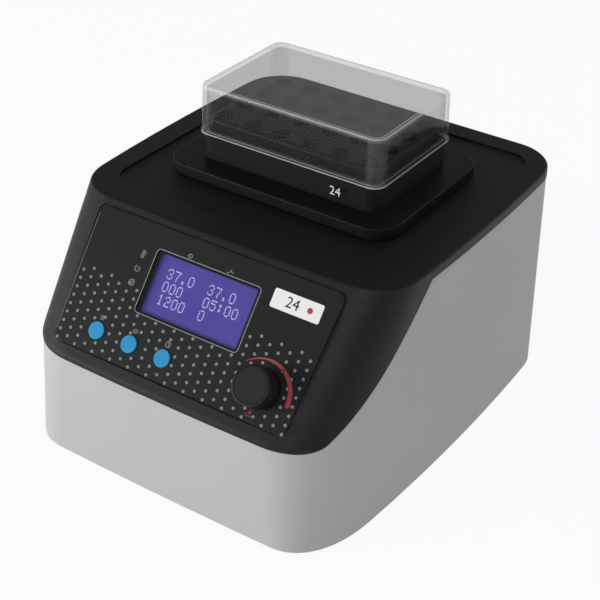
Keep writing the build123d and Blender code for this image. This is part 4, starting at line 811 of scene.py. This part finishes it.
def panel_signs(rise):
    """The plain signs beside the display, over the buttons and under the knob."""
    meshes = {"ink_light": bmesh.new(), "ink_red": bmesh.new()}
    for kind, across, down, size, ink in LABELS:
        matrix = slope_matrix(across * MM, down * MM, rise)
        for line in SIGNS[kind]:
            points = [(x * size * MM, y * size * MM) for x, y in line]
            add_stroke(meshes[ink], points, [LABEL_WIDTH] * len(points), matrix)
    for ink, name in (("ink_light", "panel_signs"), ("ink_red", "press_sign")):
        made = piece(name, finish_mesh(name, meshes[ink]), INKS[ink], "housing")


# Painted highlight: a light line down the panel's left edge, where the groove's wall catches light
EDGE_HIGHLIGHT_LINE = [(-79.2 * MM, -9.6 * MM), (-77.5 * MM, -78.2 * MM)]
EDGE_HIGHLIGHT_WIDTH = 0.25 * MM
WINDOW_LINE_OUT = 0.65 * MM
WINDOW_LINE_IN = 0.28 * MM
WINDOW_LINE_CORNER = 1.9 * MM


def panel_lines(rise):
    """The fine printed line round the display window, and a painted highlight line down the panel's left
    edge.
    """
    bm = bmesh.new()
    rims = []
    for out in (WINDOW_LINE_OUT, WINDOW_LINE_IN):
        rims.append(rounded_outline(DISPLAY_HALF[0] + out, DISPLAY_HALF[1] + out, WINDOW_LINE_CORNER + out))
    matrix = slope_matrix(DISPLAY_CENTRE[0], DISPLAY_CENTRE[1], rise)
    add_plate(bm, rims[0], matrix, PRINT_THICKNESS, rims[1])
    made = piece("display_outline", finish_mesh("display_outline", bm), INKS["ink_light"], "housing")
    # Painted highlight line down the panel's left edge
    bm = bmesh.new()
    add_stroke(bm, EDGE_HIGHLIGHT_LINE, [EDGE_HIGHLIGHT_WIDTH] * len(EDGE_HIGHLIGHT_LINE), slope_matrix(0.0, 0.0, rise))
    made = piece("panel_edge_highlight", finish_mesh("panel_edge_highlight", bm), INKS["ink_grey"], "housing")


# The display's reading, in square pixels
PIXEL_ROWS = {
    "0": ("01110", "10001", "10001", "10001", "10001", "10001", "01110"),
    "1": ("00100", "01100", "00100", "00100", "00100", "00100", "01110"),
    "2": ("01110", "10001", "00001", "00110", "01000", "10000", "11111"),
    "3": ("01110", "10001", "00001", "00110", "00001", "10001", "01110"),
    "5": ("11111", "10000", "11110", "00001", "00001", "10001", "01110"),
    "7": ("11111", "00001", "00010", "00010", "00100", "00100", "00100"),
    ".": ("00000", "00000", "00000", "00000", "00000", "01100", "01100"),
    ":": ("00000", "01100", "01100", "00000", "01100", "01100", "00000"),
}
PIXEL_PITCH = 0.74 * MM
PIXEL_HEIGHT_PITCH = 0.86 * MM
PIXEL_THICKNESS = 0.06 * MM
LETTER_PITCH = 4.72 * MM
PIXEL_FILL = 0.76                # share of the pitch that a pixel fills
MIDDLE_ROW = 3
READING_LEFTS = (-24.8 * MM, 2.6 * MM)

# Place down in millimetres, left word, right word
READING_ROWS = [(27.6, "37.0", "37.0"), (34.9, "000", "05:00"), (42.2, "1200", "0")]


def add_reading(bm, text, left, down, rise):
    """One word of the reading, a small square plate for each lit pixel."""
    half_x, half_y = PIXEL_PITCH * PIXEL_FILL / 2, PIXEL_HEIGHT_PITCH * PIXEL_FILL / 2
    square = [(half_x, half_y), (-half_x, half_y), (-half_x, -half_y), (half_x, -half_y)]
    for place, letter in enumerate(text):
        for row, bits in enumerate(PIXEL_ROWS[letter]):
            for column, bit in enumerate(bits):
                if bit == "1":
                    across = left + place * LETTER_PITCH + column * PIXEL_PITCH
                    lower = down + (row - MIDDLE_ROW) * PIXEL_HEIGHT_PITCH
                    add_plate(bm, square, slope_matrix(across, lower, rise), PIXEL_THICKNESS)


def display_reading():
    """The words on the display, in two columns of three."""
    rise = face_rise("display_module", BEND, SLOPE_OUT)
    bm = bmesh.new()
    for side, left in enumerate(READING_LEFTS):
        for row in READING_ROWS:
            add_reading(bm, row[1 + side], left, row[0] * MM, rise)
    made = piece("display_reading", finish_mesh("display_reading", bm), INKS["display_ink"], "housing")


# Numbers on the badge and the block
BADGE_PLACE = (57.3 * MM, 18.9 * MM)
BADGE_NUMBER_HEIGHT = 8.4 * MM
BADGE_NUMBER_LEFT = 2.6 * MM     # from the middle of the badge
BADGE_SPOT_RIGHT = 8.2 * MM
BADGE_SPOT_RADIUS = 1.6 * MM
BADGE_SPOT_SIDES = 24
BLOCK_NUMBER_PLACE = (34.4 * MM, 154.3 * MM)
BLOCK_NUMBER_HEIGHT = 7.4 * MM


def badge_print():
    """The plain number and the red spot on the badge."""
    rise = face_rise("badge_plate", BEND, SLOPE_OUT)
    matrix = slope_matrix(BADGE_PLACE[0] - BADGE_NUMBER_LEFT, BADGE_PLACE[1], rise)
    mesh = written("24", BADGE_NUMBER_HEIGHT, matrix)
    piece("badge_number", mesh, INKS["ink_black"], "housing")
    bm = bmesh.new()
    last = BADGE_SPOT_SIDES - 1
    spot = arc_points((0.0, 0.0), BADGE_SPOT_RADIUS, 0.0, math.pi * 2 * last / BADGE_SPOT_SIDES, last)
    matrix = slope_matrix(BADGE_PLACE[0] + BADGE_SPOT_RIGHT, BADGE_PLACE[1], rise)
    add_plate(bm, spot, matrix, PRINT_THICKNESS)
    piece("badge_spot", finish_mesh("badge_spot", bm), INKS["ink_red"], "housing")


def block_print():
    """The plain number on the front of the block."""
    block_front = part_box("thermal_block")[0].y
    upright = Matrix.Rotation(math.pi / 2, 4, "X")
    place = Matrix.Translation((BLOCK_NUMBER_PLACE[0], block_front, BLOCK_NUMBER_PLACE[1])) @ upright
    mesh = written("24", BLOCK_NUMBER_HEIGHT, place)
    piece("block_number", mesh, INKS["ink_white"], "platform")


# Stage, light and camera
FLOOR_SIZE = 8.0
FLOOR_COLOUR = (0.86, 0.86, 0.86, 1.0)
BACKGROUND_SHARE = 0.92


def white_to_the_eye(tree, shown):
    """How far plain white is mixed in: as shown for camera, glossy and transmission rays, else 0."""
    path = tree.nodes.new("ShaderNodeLightPath")
    total = path.outputs["Is Camera Ray"]
    for ray in ("Is Glossy Ray", "Is Transmission Ray"):
        step = tree.nodes.new("ShaderNodeMath")
        step.operation = "MAXIMUM"
        tree.links.new(total, step.inputs[0])
        tree.links.new(path.outputs[ray], step.inputs[1])
        total = step.outputs[0]
    share = tree.nodes.new("ShaderNodeMath")
    share.operation = "MULTIPLY"
    tree.links.new(total, share.inputs[0])
    share.inputs[1].default_value = shown
    return share.outputs[0]


def make_floor():
    """A wide floor that looks white and keeps a little of the shadow."""
    bm = bmesh.new()
    half = FLOOR_SIZE / 2
    signs = ((-1, -1), (1, -1), (1, 1), (-1, 1))
    corners = [bm.verts.new((x * half, y * half, 0.0)) for x, y in signs]
    bm.faces.new(corners)
    mesh = bpy.data.meshes.new("floor")
    bm.to_mesh(mesh)
    bm.free()
    f = Finish("pale_floor")
    cloud = f.noise(0.6)
    matt = f.surface(
        Base_Color=f.blend(cloud, (0.84, 0.84, 0.84, 1), FLOOR_COLOUR), Roughness=0.9,
        Specular_IOR_Level=0.0,
    )
    white = f.node("ShaderNodeEmission", None, Color=(1, 1, 1, 1), Strength=1.0)
    share = Flow(f, white_to_the_eye(f.tree, BACKGROUND_SHARE))
    mesh.materials.append(f.close(f.node("ShaderNodeMixShader", None, share, matt, white)))
    floor = bpy.data.objects.new("floor", mesh)
    bpy.context.scene.collection.objects.link(floor)


WORLD_LIGHT = 0.38
CEILING_FADE = (0.02, 0.28)
CEILING_LEVEL = 0.18

# Name, place, width and height in metres, power in watts
LAMPS = [
    ("key_softbox", (-1.35, -1.25, 0.22), 1.0, 0.5, 20.5),
    ("front_softbox", (0.42, -1.40, 1.22), 0.45, 0.35, 7.2),
    ("back_softbox", (0.9, 1.2, 1.1), 0.9, 0.7, 1.5),
]
LAMP_AIM = (0.0, 0.0, 0.08)


def ceiling_level(tree):
    """Strength of the white: 1, but dimmer overhead for glossy rays, as in a dark studio."""
    path = tree.nodes.new("ShaderNodeLightPath")
    place = tree.nodes.new("ShaderNodeTexCoord")
    parts = tree.nodes.new("ShaderNodeSeparateXYZ")
    tree.links.new(place.outputs["Generated"], parts.inputs[0])
    fade = tree.nodes.new("ShaderNodeMapRange")
    tree.links.new(parts.outputs["Z"], fade.inputs["Value"])
    fade.inputs["From Min"].default_value = CEILING_FADE[0]
    fade.inputs["From Max"].default_value = CEILING_FADE[1]
    fade.inputs["To Min"].default_value = 1.0
    fade.inputs["To Max"].default_value = CEILING_LEVEL
    level = tree.nodes.new("ShaderNodeMix")
    tree.links.new(path.outputs["Is Glossy Ray"], level.inputs["Factor"])
    level.inputs["A"].default_value = 1.0
    tree.links.new(fade.outputs[0], level.inputs["B"])
    return level.outputs["Result"]


def make_light():
    world = bpy.data.worlds.new("studio")
    world.use_nodes = True
    tree = world.node_tree
    tree.nodes.clear()
    end = tree.nodes.new("ShaderNodeOutputWorld")
    dim = tree.nodes.new("ShaderNodeBackground")
    dim.inputs["Color"].default_value = (1.0, 1.0, 1.0, 1.0)
    dim.inputs["Strength"].default_value = WORLD_LIGHT
    white = tree.nodes.new("ShaderNodeBackground")
    white.inputs["Color"].default_value = (1.0, 1.0, 1.0, 1.0)
    tree.links.new(ceiling_level(tree), white.inputs["Strength"])
    mix = tree.nodes.new("ShaderNodeMixShader")
    tree.links.new(white_to_the_eye(tree, 1.0), mix.inputs["Fac"])
    tree.links.new(dim.outputs[0], mix.inputs[1])
    tree.links.new(white.outputs[0], mix.inputs[2])
    tree.links.new(mix.outputs[0], end.inputs["Surface"])
    bpy.context.scene.world = world
    for name, place, width, height, power in LAMPS:
        light = bpy.data.lights.new(name, "AREA")
        light.shape = "RECTANGLE"
        light.size = width
        light.size_y = height
        light.energy = power
        lamp = bpy.data.objects.new(name, light)
        lamp.location = place
        lamp.rotation_mode = "QUATERNION"
        lamp.rotation_quaternion = (Vector(LAMP_AIM) - Vector(place)).to_track_quat("-Z", "Y")
        bpy.context.scene.collection.objects.link(lamp)


def make_camera():
    data = bpy.data.cameras.new("photo_camera")
    data.lens = CAMERA_LENS_MM
    data.sensor_width = CAMERA_SENSOR_MM
    camera = bpy.data.objects.new("photo_camera", data)
    bpy.context.scene.collection.objects.link(camera)
    ahead = Vector((
        -math.sin(CAMERA_YAW) * math.cos(CAMERA_PITCH),
        math.cos(CAMERA_YAW) * math.cos(CAMERA_PITCH),
        -math.sin(CAMERA_PITCH),
    ))
    level = Vector((math.cos(CAMERA_YAW), math.sin(CAMERA_YAW), 0.0))
    above = level.cross(ahead)
    right = level * math.cos(CAMERA_ROLL) + above * math.sin(CAMERA_ROLL)
    top = above * math.cos(CAMERA_ROLL) - level * math.sin(CAMERA_ROLL)
    turn = Matrix((right, top, -ahead)).transposed().to_4x4()
    camera.matrix_world = Matrix.Translation(CAMERA_PLACE) @ turn
    bpy.context.scene.camera = camera


bpy.context.scene.view_settings.view_transform = "Standard"
make_camera()
dress_nodes()
panel_rise = face_rise("control_panel", BEND, SLOPE_OUT)
panel_dots(panel_rise)
turn_arc(panel_rise)
panel_signs(panel_rise)
panel_lines(panel_rise)
display_reading()
badge_print()
block_print()
make_floor()
make_light()
